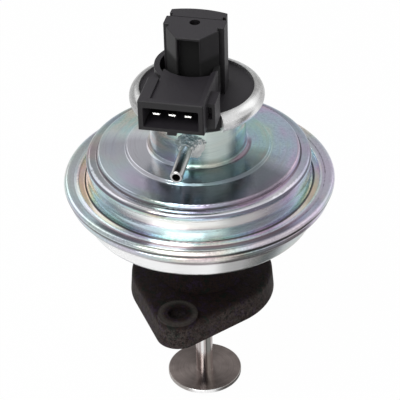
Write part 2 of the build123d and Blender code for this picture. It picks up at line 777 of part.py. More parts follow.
# The sensor's moulded housing: hub and flange, tower and connector shroud in one
with BuildPart() as sensor_housing:
    with BuildSketch(sensor_level(sensor_bottom)):
        Circle(collar_radius)
    extrude(amount=sensor_flange_thickness)
    with BuildSketch(sensor_level(sensor_bottom)):
        Circle(neck_bore_radius - free_gap)
    extrude(amount=-hub_length)
    seal_level = sensor_bottom - seal_drop
    groove_half = seal_section / 2 + free_gap
    with BuildSketch(sensor_level(seal_level - groove_half)):
        Circle(neck_bore_radius)
        Circle(neck_bore_radius - seal_section - 2 * seat_gap, mode=Mode.SUBTRACT)
    extrude(amount=2 * groove_half, mode=Mode.SUBTRACT)
    with BuildSketch(sensor_level(sensor_bottom)):
        Circle(key_radius)
        with BuildLine():
            key_reach = 2 * key_radius
            key_side = key_reach * tan(radians(key_half_angle))
            Polyline((0, 0), (-key_side, -key_reach), (key_side, -key_reach), close=True)
        make_face(mode=Mode.INTERSECT)
    extrude(amount=sensor_flange_thickness + shroud_rise)
    with BuildSketch(sensor_level(shroud_bottom)):
        middle, length = between(-shroud_front, -chamfer_end_front)
        with Locations((shroud_offset, middle)):
            Rectangle(shroud_width, length)
    extrude(amount=shroud_height)
    with BuildSketch(sensor_level(sensor_deck)):
        Circle(crimp_inner_radius - free_gap)
        middle, length = between(-collar_radius, -chamfer_end_front)
        with Locations((shroud_offset, middle)):
            Rectangle(shroud_width, length, mode=Mode.INTERSECT)
    extrude(amount=shroud_rise)
    front_face = sensor_housing.faces().sort_by(Axis(sensor_frame.origin, -sensor_frame.y_dir))[-1]
    top_sides = sensor_housing.faces().sort_by(Axis.Z)[-1].edges().filter_by(Axis((0, 0, 0), sensor_frame.y_dir))
    fillet(front_face.edges() + top_sides, radius=shroud_edge)
    with BuildSketch(sensor_level(shroud_top)):
        left, right = shroud_left + panel_left_border, shroud_right - panel_right_border
        middle, width = between(left, right)
        back, length = between(-shroud_front + panel_front_border, 0)
        with Locations((middle, back)):
            Rectangle(width, length)
    extrude(amount=-panel_depth, mode=Mode.SUBTRACT)
    with BuildSketch(sensor_level(shroud_top)):
        Circle(well_radius)
        with Locations((shroud_right - side_wall, 0)):
            Rectangle(well_radius, 2 * well_radius, align=(Align.MIN, Align.CENTER), mode=Mode.SUBTRACT)
    extrude(amount=-well_depth, mode=Mode.SUBTRACT)
    with BuildSketch(sensor_level(shroud_top)):
        with Locations((shroud_left + panel_left_border, -left_border_back)):
            Rectangle(2 * panel_left_border, left_border_back, align=(Align.MAX, Align.MIN))
    extrude(amount=-left_step_depth, mode=Mode.SUBTRACT)
    with BuildSketch(sensor_level(sensor_deck)):
        Circle(well_radius + collar_wall)
        Circle(well_radius, mode=Mode.SUBTRACT)
        with Locations((-collar_front_trim, collar_back)):
            Rectangle(2 * well_radius, 3 * well_radius, align=(Align.MAX, Align.MAX), mode=Mode.INTERSECT)
    extrude(amount=collar_height)
    with BuildSketch(sensor_level(sensor_deck)):
        with BuildLine():
            right_side = FilletPolyline(
                (0, -tower_front),
                (tower_front_half_width, -tower_front),
                (chamfer_end_half_width, -chamfer_end_front),
                (tower_half_width - side_groove_depth, -chamfer_end_front),
                (tower_half_width - side_groove_depth, side_groove_width - chamfer_end_front),
                (tower_half_width, side_groove_width - chamfer_end_front),
                (tower_half_width, split_back),
                (0, split_back),
                radius=[front_corner, tower_corner, groove_corner, groove_corner, tower_corner, tower_corner],
            )
            mirror(right_side, about=Plane.YZ)
        make_face()
    extrude(amount=tower_height)
    with BuildSketch(sensor_front(tower_front)):
        middle, height = between(shroud_top - well_depth, tower_top - recess_top_land)
        with Locations((0, middle)):
            Rectangle(2 * recess_half_width, height)
    extrude(amount=-recess_depth, mode=Mode.SUBTRACT)
    with BuildSketch(sensor_level(chamber_bottom)):
        middle, length = between(-chamber_front, split_back)
        with Locations((0, middle)):
            Rectangle(2 * chamber_half_width, length)
    extrude(amount=chamber_top - chamber_bottom, mode=Mode.SUBTRACT)
    with BuildSketch(sensor_level(hub_bottom)):
        Circle(plunger_radius + running_gap)
    extrude(amount=chamber_floor, mode=Mode.SUBTRACT)
    with BuildSketch(sensor_level(chamber_top)):
        Circle(top_hole_diameter / 2)
    extrude(amount=top_wall, mode=Mode.SUBTRACT)
    with BuildSketch(sensor_front(shroud_front)):
        with Locations((shroud_offset, terminal_level)):
            RectangleRounded(socket_width, socket_height, 0.4)
    extrude(amount=-socket_depth, mode=Mode.SUBTRACT)
    with BuildSketch(sensor_front(shroud_front)):
        with Locations((shroud_offset, terminal_level)):
            with GridLocations(terminal_pitch, 1, terminal_count, 1):
                Rectangle(terminal_width + 2 * press_gap, terminal_thickness + 2 * press_gap)
    extrude(amount=-(shroud_front - chamber_front), mode=Mode.SUBTRACT)
    with BuildSketch(sensor_front(shroud_front - catch_setback)):
        with Locations((shroud_offset, shroud_bottom)):
            Rectangle(catch_width, catch_height, align=(Align.CENTER, Align.MAX))
    extrude(amount=-catch_length)
    with BuildSketch(sensor_front(wing_front)):
        with Locations((shroud_right, shroud_bottom)):
            Rectangle(wing_width, wing_height, align=(Align.MIN, Align.MIN))
    extrude(amount=-wing_length)
    with BuildSketch(sensor_front(wing_front)):
        with Locations((shroud_right + slot_border, shroud_bottom + slot_floor)):
            Rectangle(slot_width, slot_height, align=(Align.MIN, Align.MIN))
    extrude(amount=-slot_depth, mode=Mode.SUBTRACT)
    chamfer(sensor_housing.faces().sort_by(Axis.Z)[-1].outer_wire().edges(), length=tower_edge)
sensor_housing.part.label = "sensor_housing"
export_step(sensor_housing.part, "parts/sensor_housing.step")

# The O-ring in the hub's groove
with BuildPart() as sensor_seal:
    with BuildSketch(Plane.XZ):
        with Locations((neck_bore_radius - seal_section / 2 - seat_gap, seal_level)):
            Circle(seal_section / 2)
    revolve(axis=Axis.Z)
sensor_seal.part.label = "sensor_seal"
export_step(sensor_seal.part, "parts/sensor_seal.step")

# The rear cover of the sensor's tower, a shallow tray with a curved back
with BuildPart() as sensor_cover:
    with BuildSketch(sensor_level(sensor_deck)):
        with BuildLine():
            notch_half = cover_half_width - cover_notch_depth
            split = split_back + seat_gap
            Polyline(
                (-cover_half_width, cover_side_back),
                (-cover_half_width, split + cover_notch),
                (-notch_half, split + cover_notch),
                (-notch_half, split),
                (notch_half, split),
                (notch_half, split + cover_notch),
                (cover_half_width, split + cover_notch),
                (cover_half_width, cover_side_back),
            )
            ThreePointArc((cover_half_width, cover_side_back), (0, cover_back), (-cover_half_width, cover_side_back))
        make_face()
    extrude(amount=tower_height)
    with BuildSketch(sensor_level(sensor_deck + cover_floor)):
        middle, length = between(0, cover_pocket_back)
        with Locations((0, middle)):
            Rectangle(2 * chamber_half_width, length)
    extrude(amount=tower_height - cover_floor - top_wall, mode=Mode.SUBTRACT)
    upright = sensor_cover.edges().filter_by(Axis.Z).sort_by(Axis(sensor_frame.origin, sensor_frame.y_dir))
    fillet(upright[-2:], radius=0.6)
sensor_cover.part.label = "sensor_cover"
export_step(sensor_cover.part, "parts/sensor_cover.step")

# The three flat terminals, moulded into the shroud's back wall
for index in range(terminal_count):
    offset_x = shroud_offset + (index - (terminal_count - 1) / 2) * terminal_pitch
    with BuildPart() as terminal:
        with BuildSketch(sensor_front(chamber_front)):
            with Locations((offset_x, terminal_level)):
                Rectangle(terminal_width, terminal_thickness)
        extrude(amount=shroud_front - terminal_recess - chamber_front)
        tip = terminal.faces().sort_by(Axis(sensor_frame.origin, -sensor_frame.y_dir))[-1]
        chamfer(tip.edges(), length=terminal_point)
    terminal.part.label = f"terminal_{index + 1}"
    export_step(terminal.part, f"parts/terminal_{index + 1}.step")

# The resistor card inside the tower's front wall
with BuildPart() as resistor_card:
    with BuildSketch(sensor_front(chamber_front - seat_gap)):
        with Locations((0, card_bottom + card_height / 2)):
            Rectangle(2 * card_half_width, card_height)
    extrude(amount=-card_thickness)
resistor_card.part.label = "resistor_card"
export_step(resistor_card.part, "parts/resistor_card.step")

# The plunger that rides on the stem's end, with its carrier and wiper contacts
plunger_foot = stem_top + seat_gap
with BuildPart() as sensor_plunger:
    with BuildSketch(sensor_level(plunger_foot)):
        Circle(plunger_radius)
    extrude(amount=carrier_bottom - plunger_foot)
    fillet(sensor_plunger.faces().sort_by(Axis.Z)[0].edges(), radius=0.8)
    with BuildSketch(sensor_level(carrier_bottom)):
        Circle(spigot_diameter / 2)
    extrude(amount=spigot_length)
sensor_plunger.part.label = "sensor_plunger"
export_step(sensor_plunger.part, "parts/sensor_plunger.step")

with BuildPart() as wiper_carrier:
    with BuildSketch(sensor_level(carrier_bottom)):
        Rectangle(2 * carrier_half_width, 2 * carrier_half_depth)
    extrude(amount=carrier_height)
    fillet(wiper_carrier.edges().filter_by(Axis.Z), radius=0.6)
    with BuildSketch(sensor_level(carrier_bottom)):
        Circle(spigot_diameter / 2 + press_gap)
    extrude(amount=spigot_length + seat_gap, mode=Mode.SUBTRACT)
wiper_carrier.part.label = "wiper_carrier"
export_step(wiper_carrier.part, "parts/wiper_carrier.step")

with BuildPart() as wiper_contacts:
    card_back = chamber_front - seat_gap - card_thickness
    reach = card_back - carrier_half_depth - running_gap
    for side in (-1, 1):
        with BuildSketch(sensor_side(side * contact_spread)):
            with BuildLine():
                foot = carrier_bottom + carrier_height / 2
                Polyline(
                    (-carrier_half_depth, foot),
                    (-carrier_half_depth - reach, foot + 2 * reach),
                    (-carrier_half_depth - reach, foot + 2 * reach + contact_width),
                    (-carrier_half_depth - reach + contact_thickness, foot + 2 * reach + contact_width),
                    (-carrier_half_depth - reach + contact_thickness, foot + 2 * reach),
                    (-carrier_half_depth, foot + 3 * contact_thickness),
                    close=True,
                )
            make_face()
        extrude(amount=contact_width / 2, both=True)
wiper_contacts.part.label = "wiper_contacts"
export_step(wiper_contacts.part, "parts/wiper_contacts.step")

# The light spring that keeps the plunger on the stem
plunger_spring_foot = carrier_top + seat_gap + plunger_spring_wire / 2
plunger_spring_rise = chamber_top - seat_gap - plunger_spring_wire / 2 - plunger_spring_foot
with BuildPart() as plunger_spring:
    with BuildLine() as plunger_spring_line:
        Helix(
            plunger_spring_rise / plunger_spring_turns,
            plunger_spring_rise,
            plunger_spring_radius,
            center=(0, 0, plunger_spring_foot),
        )
    with BuildSketch(Plane(plunger_spring_line.line @ 0, z_dir=plunger_spring_line.line % 0)):
        RegularPolygon(plunger_spring_wire / 2, 6)
    sweep(is_frenet=True)
plunger_spring.part.label = "plunger_spring"
export_step(plunger_spring.part, "parts/plunger_spring.step")
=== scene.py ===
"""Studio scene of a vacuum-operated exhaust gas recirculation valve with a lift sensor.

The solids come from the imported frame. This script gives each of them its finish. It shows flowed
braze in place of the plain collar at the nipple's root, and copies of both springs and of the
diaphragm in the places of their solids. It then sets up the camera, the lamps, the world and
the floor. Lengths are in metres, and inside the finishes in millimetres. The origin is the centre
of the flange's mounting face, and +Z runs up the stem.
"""

import logging
from dataclasses import dataclass, field
from enum import Enum
from math import cos, radians, sin, tau
from typing import Any, Mapping, Optional, Sequence, Union

import bmesh
import bpy
from mathutils import Matrix, Vector, noise


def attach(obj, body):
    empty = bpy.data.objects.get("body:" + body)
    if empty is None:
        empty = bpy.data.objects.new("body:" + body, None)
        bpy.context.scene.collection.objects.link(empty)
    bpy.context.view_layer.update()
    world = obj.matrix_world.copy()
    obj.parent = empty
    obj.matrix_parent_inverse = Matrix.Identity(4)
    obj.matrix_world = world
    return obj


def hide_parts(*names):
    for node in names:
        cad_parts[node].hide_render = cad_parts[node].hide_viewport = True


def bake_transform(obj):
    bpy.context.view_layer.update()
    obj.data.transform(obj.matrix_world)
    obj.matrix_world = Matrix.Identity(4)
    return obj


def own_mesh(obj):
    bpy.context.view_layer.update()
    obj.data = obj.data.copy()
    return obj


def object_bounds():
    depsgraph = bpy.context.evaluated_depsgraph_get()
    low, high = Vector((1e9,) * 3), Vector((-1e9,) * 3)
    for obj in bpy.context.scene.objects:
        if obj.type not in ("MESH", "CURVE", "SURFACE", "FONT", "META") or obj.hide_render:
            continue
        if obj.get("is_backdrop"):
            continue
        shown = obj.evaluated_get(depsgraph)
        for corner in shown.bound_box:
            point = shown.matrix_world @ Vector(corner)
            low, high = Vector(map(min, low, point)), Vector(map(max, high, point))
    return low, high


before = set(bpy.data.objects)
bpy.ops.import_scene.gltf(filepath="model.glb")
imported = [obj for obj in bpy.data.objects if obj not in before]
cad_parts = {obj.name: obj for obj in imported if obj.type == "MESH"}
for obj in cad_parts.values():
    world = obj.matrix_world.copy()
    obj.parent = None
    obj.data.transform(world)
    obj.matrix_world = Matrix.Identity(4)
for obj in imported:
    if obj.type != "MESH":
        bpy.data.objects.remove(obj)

log = logging.getLogger("valve")

Colour = tuple[float, float, float, float]
Stops = tuple[tuple[float, Colour], ...]
Number = Union[int, float]
MM = 0.001


def grey(level: float) -> Colour:
    """A neutral colour of one level."""
    return (level, level, level, 1.0)


def rgb(red: float, green: float, blue: float) -> Colour:
    """An opaque colour in linear values."""
    return (red, green, blue, 1.0)


def toned(colour: Colour, factor: float) -> Colour:
    """Makes a colour lighter or darker.

    Args:
        colour: the colour.
        factor: what its channels are multiplied by.

    Returns:
        The new colour, with no channel over 1.
    """
    red, green, blue = (min(channel * factor, 1.0) for channel in colour[:3])
    return (red, green, blue, 1.0)


@dataclass(frozen=True)
class Band:
    """A span of lengths in millimetres, which fades out past both ends.

    On a turned piece it is a ring of radii, or a ring of heights where by_height is set.
    """

    low: float
    high: float
    soft: float
    by_height: bool = False


@dataclass(frozen=True)
class Sector:
    """A part of the way round a turned piece, in degrees from the front towards the right.

    It reaches as far as its spread to each side of its bearing, and fades out past that.
    """

    bearing: float
    spread: float
    fade: float


class Signal:
    """One output socket of a material's nodes, used like a number or a vector in expressions."""

    def __init__(self, graph: "Graph", socket: bpy.types.NodeSocket) -> None:
        """Wraps a socket.

        Args:
            graph: the material's nodes that the socket belongs to.
            socket: the output socket.
        """
        self.graph = graph
        self.socket = socket

    def _math(self, operation: str, *values: Union["Signal", Number]) -> "Signal":
        """Adds one Math node.

        Args:
            operation: Blender's name of the operation.
            values: its inputs in order.

        Returns:
            The node's result.
        """
        inputs = dict(enumerate(values))
        return self.graph.node("ShaderNodeMath", {"operation": operation}, inputs)

    def __add__(self, other: Union["Signal", Number]) -> "Signal":
        """Adds."""
        return self._math("ADD", self, other)

    __radd__ = __add__

    def __sub__(self, other: Union["Signal", Number]) -> "Signal":
        """Subtracts."""
        return self._math("SUBTRACT", self, other)

    def __rsub__(self, other: Union["Signal", Number]) -> "Signal":
        """Subtracts this from the other."""
        return self._math("SUBTRACT", other, self)

    def __mul__(self, other: Union["Signal", Number]) -> "Signal":
        """Multiplies."""
        return self._math("MULTIPLY", self, other)

    def __truediv__(self, other: Union["Signal", Number]) -> "Signal":
        """Divides."""
        return self._math("DIVIDE", self, other)

    def __pow__(self, other: Union["Signal", Number]) -> "Signal":
        """Raises to a power."""
        return self._math("POWER", self, other)

    def clamped(self) -> "Signal":
        """The value held between 0 and 1."""
        return self._math("MINIMUM", self.larger(0.0), 1.0)

    def larger(self, other: Union["Signal", Number]) -> "Signal":
        """The larger of this and another value."""
        return self._math("MAXIMUM", self, other)

    def rise(self, start: float, width: float) -> "Signal":
        """A mask that grows from 0 at a start to 1 over a width."""
        return ((self - start) / width).clamped()

    def fall(self, start: float, width: float) -> "Signal":
        """A mask that drops from 1 at a start to 0 over a width."""
        return (((start + width) - self) / width).clamped()

    def within(self, band: Band) -> "Signal":
        """A mask that is 1 in a band and fades out past its ends.

        Args:
            band: the band.

        Returns:
            The mask.
        """
        return self.rise(band.low - band.soft, band.soft) * self.fall(band.high, band.soft)


Input = Union[Signal, Number, Sequence[float]]


class Graph:
    """The shader nodes of one material or of the world, built with plain expressions."""

    def __init__(self, owner: Union[bpy.types.Material, bpy.types.World]) -> None:
        """Clears the owner's nodes.

        Args:
            owner: the material or the world.
        """
        owner.use_nodes = True
        self.owner = owner
        self.tree = owner.node_tree
        self.tree.nodes.clear()

    @classmethod
    def of_material(cls, name: str) -> "Graph":
        """Starts a new material.

        Args:
            name: the material's name.

        Returns:
            Its nodes, still empty.
        """
        return cls(bpy.data.materials.new(name))

    def add(self, kind: str, settings: Mapping[str, Any], inputs: Mapping[Any, Input]) -> bpy.types.Node:
        """Adds a node of any type.

        Args:
            kind: the node's type, such as ShaderNodeMath.
            settings: the node's own settings, and a ramp's stops under the name stops.
            inputs: a value or a signal for each socket, by its name or number.

        Returns:
            The new node.
        """
        made = self.tree.nodes.new(kind)
        for key, value in settings.items():
            if key == "stops":
                self._set_stops(made.color_ramp, value)
            else:
                setattr(made, key, value)
        for key, value in inputs.items():
            if isinstance(value, Signal):
                self.tree.links.new(value.socket, made.inputs[key])
            else:
                made.inputs[key].default_value = value
        return made

    @staticmethod
    def _set_stops(ramp: bpy.types.ColorRamp, stops: Stops) -> None:
        """Gives a colour ramp its stops.

        Args:
            ramp: the ramp.
            stops: the place and colour of each stop, in order.
        """
        while len(ramp.elements) < len(stops):
            ramp.elements.new(1.0)
        for element, (place, colour) in zip(ramp.elements, stops):
            element.position = place
            element.color = colour

    def node(
        self,
        kind: str,
        settings: Mapping[str, Any],
        inputs: Mapping[Any, Input],
        output: Union[int, str] = 0,
    ) -> Signal:
        """Adds a node and returns one of its outputs.

        Args:
            kind: the node's type.
            settings: the node's own settings.
            inputs: a value or a signal for each socket.
            output: the name or number of the output.

        Returns:
            That output.
        """
        return Signal(self, self.add(kind, settings, inputs).outputs[output])

    def place(self) -> Signal:
        """Looks up where the surface is.

        Returns:
            The point in the valve's frame, in millimetres.
        """
        point = self.node("ShaderNodeTexCoord", {}, {}, "Object")
        return self.scaled(point, (1.0 / MM,) * 3)

    def scaled(self, vector: Signal, factors: Sequence[float]) -> Signal:
        """Stretches a vector.

        Args:
            vector: the vector.
            factors: what each of its axes is multiplied by.

        Returns:
            The stretched vector.
        """
        inputs = {0: vector, 1: tuple(factors)}
        return self.node("ShaderNodeVectorMath", {"operation": "MULTIPLY"}, inputs)

    def axes(self, vector: Signal) -> tuple[Signal, Signal, Signal]:
        """Splits a vector.

        Args:
            vector: the vector.

        Returns:
            Its three components.
        """
        parts = self.add("ShaderNodeSeparateXYZ", {}, {0: vector})
        x, y, z = (Signal(self, output) for output in parts.outputs)
        return x, y, z

    def vector(self, x: Input, y: Input, z: Input) -> Signal:
        """A vector from three values."""
        return self.node("ShaderNodeCombineXYZ", {}, {0: x, 1: y, 2: z})

    def noise(self, vector: Signal, scale: float, detail: float = 3.0, rough: float = 0.5) -> Signal:
        """Smooth noise between 0 and 1.

        Args:
            vector: where it is looked up.
            scale: its frequency.
            detail: how many finer octaves are added.
            rough: how strong each finer octave is.

        Returns:
            The noise's value.
        """
        inputs = {"Vector": vector, "Scale": scale, "Detail": detail, "Roughness": rough}
        return self.node("ShaderNodeTexNoise", {"noise_dimensions": "3D"}, inputs, "Fac")

    def ramp(self, value: Signal, stops: Stops) -> Signal:
        """A colour that follows a value through some stops."""
        return self.node("ShaderNodeValToRGB", {"stops": stops}, {"Fac": value}, "Color")

    def mix(self, amount: Input, first: Input, second: Input, blend: str = "MIX") -> Signal:
        """Mixes two colours.

        Args:
            amount: how much of the second colour shows.
            first: the first colour.
            second: the second colour.
            blend: Blender's name of the way they are mixed.

        Returns:
            The mixed colour.
        """
        settings = {"data_type": "RGBA", "blend_type": blend}
        return self.node("ShaderNodeMix", settings, {0: amount, 6: first, 7: second}, 2)

    def bump(self, height: Signal, distance: float, strength: float) -> Signal:
        """Turns a height into a surface normal.

        Args:
            height: the height, between 0 and 1.
            distance: how deep a height of 1 is, in metres.
            strength: how much of it shows.

        Returns:
            The normal.
        """
        inputs = {"Height": height, "Distance": distance, "Strength": strength}
        return self.node("ShaderNodeBump", {}, inputs, "Normal")

    def seen(self) -> tuple[Signal, Signal]:
        """Tells how a surface or the world is looked at.

        Returns:
            1 for the camera and for rays through glass, and 1 for mirrored rays.
        """
        path = self.add("ShaderNodeLightPath", {}, {})
        names = ("Is Camera Ray", "Is Transmission Ray", "Is Glossy Ray")
        camera, through, mirrored = (Signal(self, path.outputs[name]) for name in names)
        return camera.larger(through), mirrored

    def surface(self, inputs: Mapping[str, Input]) -> bpy.types.Material:
        """Closes the material with a principled surface.

        Args:
            inputs: the surface's sockets.

        Returns:
            The material.
        """
        shader = self.node("ShaderNodeBsdfPrincipled", {}, inputs, "BSDF")
        self.add("ShaderNodeOutputMaterial", {}, {"Surface": shader})
        return self.owner


@dataclass
class Round:
    """The place on a turned piece, split into what a spinning or drawing die follows.

    Its slant says how much of the radius counts beside the height along the profile.
    """

    graph: Graph
    slant: float = 0.8
    least_radius: float = 0.01
    point: Signal = field(init=False)
    radius: Signal = field(init=False)
    height: Signal = field(init=False)
    around: Signal = field(init=False)

    def __post_init__(self) -> None:
        """Works out the radius, the height and the direction round the stem."""
        self.point = self.graph.place()
        x, y, self.height = self.graph.axes(self.point)
        self.radius = (x * x + y * y) ** 0.5
        reach = self.radius + self.least_radius
        self.around = self.graph.vector(x / reach, y / reach, 0.0)

    def facing(self, sector: Sector) -> Signal:
        """A mask over one part of the way round.

        Args:
            sector: the part.

        Returns:
            The mask.
        """
        x, y, _ = self.graph.axes(self.around)
        turn = radians(sector.bearing)
        toward = x * sin(turn) - y * cos(turn)
        edge = cos(radians(sector.spread))
        end = cos(radians(min(sector.spread + sector.fade, 180.0)))
        return toward.rise(end, edge - end)

    def streaks(self, along: float, across: float, detail: float = 4.0) -> Signal:
        """Noise drawn out round the stem, fine across the profile.

        Args:
            along: its frequency round the piece.
            across: its frequency across the profile, per millimetre.
            detail: how many finer octaves are added.

        Returns:
            The noise's value.
        """
        profile = (self.radius * self.slant + self.height) * across
        x, y, _ = self.graph.axes(self.around)
        return self.graph.noise(self.graph.vector(x * along, y * along, profile), 1.0, detail)


class Finish:
    """A surface finish. Each kind builds its material once and keeps it."""

    _made: dict[str, bpy.types.Material] = {}

    def build(self) -> bpy.types.Material:
        """Makes the material. Each finish has its own."""
        raise NotImplementedError

    def material(self) -> bpy.types.Material:
        """Makes the material, the first time that it is asked for.

        Returns:
            The finish's material.
        """
        key = repr(self)
        if key not in Finish._made:
            Finish._made[key] = self.build()
        return Finish._made[key]


class DomeRing(Enum):
    """The dome's rings that take tints, painted highlights, painted reflections and painted shade, from
    the neck outwards and then up from the foot.
    """

    NECK_FOOT = Band(16.2, 17.3, 0.3)
    INNER_DECK = Band(17.5, 24.0, 1.5)
    INNER_DECK_PAINTED_HIGHLIGHT = Band(17.5, 24.0, 1.0)
    INNER_DECK_PAINTED_REFLECTION = Band(17.0, 23.4, 0.8)
    OUTER_DECK = Band(25.0, 33.0, 2.0)
    OUTER_DECK_PAINTED_REFLECTION = Band(24.8, 32.4, 0.6)
    OUTER_DECK_ROSE = Band(24.6, 33.0, 2.0)
    OUTER_DECK_VIOLET = Band(25.2, 29.0, 2.0)
    DECK_EDGE = Band(32.6, 33.3, 0.2)
    GROOVE = Band(33.5, 33.9, 0.12)
    BEAD_TOP = Band(34.2, 36.5, 0.2)
    FOOT_CREASE = Band(37.85, 38.3, 0.12)
    FLANGE_FRONT = Band(38.6, 40.6, 0.5)
    FLANGE_SIDES = Band(38.6, 40.8, 0.5)
    WAIST = Band(47.4, 50.0, 0.8, by_height=True)
    WALL = Band(50.6, 53.8, 0.8, by_height=True)
    WALL_PAINTED_HIGHLIGHT = Band(50.8, 53.6, 0.8, by_height=True)
    BEAD_SIDE = Band(54.85, 55.35, 0.15, by_height=True)
    STEP = Band(57.2, 59.6, 1.2, by_height=True)
    NECK = Band(56.0, 78.0, 2.0, by_height=True)
    NECK_LOW = Band(58.8, 66.0, 2.0, by_height=True)
    NECK_PAINTED_HIGHLIGHT = Band(63.2, 73.0, 4.0, by_height=True)


class PanRing(Enum):
    """The pan's rings that take tints, painted highlights, painted reflections and painted shade: its
    rolled lip, then down its outside.
    """

    LIP = Band(41.0, 43.4, 0.3)
    LIP_PAINTED_REFLECTION = Band(41.2, 43.2, 0.3)
    LIP_SIDES = Band(41.0, 44.6, 0.4)
    ROLL_UNDERSIDE = Band(45.25, 46.2, 0.12, by_height=True)
    SHOULDER = Band(40.5, 43.0, 0.4, by_height=True)
    WALL_PAINTED_HIGHLIGHT = Band(34.4, 39.6, 0.8, by_height=True)
    WALL_PAINTED_REFLECTION = Band(33.8, 42.4, 0.8, by_height=True)
    CORNER = Band(32.0, 33.8, 0.3, by_height=True)


class CrimpRing(Enum):
    """The crimp ring's two widths that take painted highlights and painted shade."""

    WHOLE = Band(15.0, 26.0, 0.5)
    TOP = Band(15.0, 24.4, 0.5)


@dataclass(frozen=True)
class Tint:
    """A colour laid on one ring of a pressing, or on a sector of that ring. Some are tints that the
    plating takes; the others are painted highlights, painted reflections and painted shade.

    On a painted highlight, the last field is the share of its metallic mirror that the plating
    loses, so that the painted highlight shows white.
    """

    ring: Enum
    strength: float
    colour: Colour
    sector: Optional[Sector] = None
    # Share of the metallic mirror taken away under a painted highlight.
    painted_highlight_matte: float = 0.0


RAINBOW: Stops = (
    (0.0, rgb(0.76, 0.47, 0.58)),
    (0.18, rgb(0.55, 0.47, 0.74)),
    (0.36, rgb(0.4, 0.6, 0.74)),
    (0.5, rgb(0.44, 0.7, 0.6)),
    (0.62, rgb(0.74, 0.66, 0.48)),
    (0.78, rgb(0.78, 0.49, 0.54)),
    (1.0, rgb(0.53, 0.43, 0.72)),
)

# In each of these lists, a later tint lies on top of the ones before it.
DOME_TINTS_AND_PAINTED_LIGHT = (
    Tint(DomeRing.INNER_DECK, 0.35, rgb(0.42, 0.62, 0.66)),
    # Painted dark reflection on the front of the outer deck.
    Tint(DomeRing.OUTER_DECK_PAINTED_REFLECTION, 0.85, rgb(0.08, 0.07, 0.1), Sector(17.0, 12.0, 28.0)),
    # Blue-green tint on the outer deck's left, lightened there with painted light.
    Tint(DomeRing.OUTER_DECK, 0.65, rgb(0.62, 0.88, 0.94), Sector(-62.0, 24.0, 22.0)),
    # Painted dark reflection on the front of the inner deck.
    Tint(DomeRing.INNER_DECK_PAINTED_REFLECTION, 0.72, rgb(0.1, 0.14, 0.17), Sector(17.0, 16.0, 30.0)),
    Tint(DomeRing.OUTER_DECK, 0.2, rgb(0.62, 0.62, 0.72)),
    # Painted shade in the groove beside the bead.
    Tint(DomeRing.GROOVE, 0.92, grey(0.04)),
    Tint(DomeRing.BEAD_TOP, 0.45, rgb(0.5, 0.48, 0.55)),
    # Painted highlight on the front of the bead.
    Tint(DomeRing.BEAD_TOP, 0.8, rgb(0.93, 0.92, 0.96), Sector(17.0, 44.0, 26.0)),
    Tint(DomeRing.DECK_EDGE, 0.4, rgb(0.7, 0.44, 0.52), Sector(70.0, 34.0, 20.0)),
    Tint(DomeRing.OUTER_DECK_VIOLET, 0.4, rgb(0.74, 0.56, 0.84), Sector(-30.0, 8.0, 14.0)),
    # Painted highlight on the left of the inner deck.
    Tint(DomeRing.INNER_DECK_PAINTED_HIGHLIGHT, 0.95, rgb(0.88, 0.93, 1.0), Sector(-52.0, 30.0, 24.0)),
    Tint(DomeRing.OUTER_DECK_ROSE, 0.35, rgb(0.7, 0.5, 0.66), Sector(62.0, 16.0, 16.0)),
    # Painted shade under the bead.
    Tint(DomeRing.BEAD_SIDE, 0.9, rgb(0.17, 0.16, 0.2)),
    # Painted highlight: the wall is lightened all round and white at the front.
    Tint(DomeRing.WALL, 0.4, rgb(0.86, 0.88, 0.9)),
    Tint(DomeRing.WALL_PAINTED_HIGHLIGHT, 0.9, rgb(0.98, 0.98, 0.95), Sector(17.0, 26.0, 24.0), painted_highlight_matte=0.4),
    Tint(DomeRing.WAIST, 0.6, rgb(0.74, 0.95, 0.98)),
    # Painted shade in the crease at the wall's foot.
    Tint(DomeRing.FOOT_CREASE, 0.95, grey(0.04)),
    Tint(DomeRing.FLANGE_FRONT, 0.6, rgb(0.8, 0.58, 0.66), Sector(17.0, 60.0, 20.0)),
    Tint(DomeRing.FLANGE_SIDES, 0.6, rgb(0.86, 0.66, 0.42), Sector(-52.0, 22.0, 16.0)),
    Tint(DomeRing.FLANGE_SIDES, 0.6, rgb(0.84, 0.64, 0.46), Sector(84.0, 14.0, 14.0)),
    # Painted highlight on the neck, to the front right.
    Tint(DomeRing.NECK_PAINTED_HIGHLIGHT, 0.9, rgb(0.9, 1.0, 0.95), Sector(42.0, 12.0, 16.0), painted_highlight_matte=0.8),
    # Painted shade low on the neck's front right and right, along its left side, and rose-tinted in its
    # foot at the right.
    Tint(DomeRing.STEP, 0.7, rgb(0.1, 0.12, 0.13), Sector(42.0, 30.0, 12.0)),
    Tint(DomeRing.NECK_LOW, 0.6, rgb(0.2, 0.24, 0.25), Sector(74.0, 12.0, 12.0)),
    Tint(DomeRing.NECK, 0.55, rgb(0.3, 0.26, 0.3), Sector(-48.0, 30.0, 14.0)),
    Tint(DomeRing.NECK_FOOT, 0.8, rgb(0.2, 0.12, 0.16), Sector(84.0, 20.0, 12.0)),
)

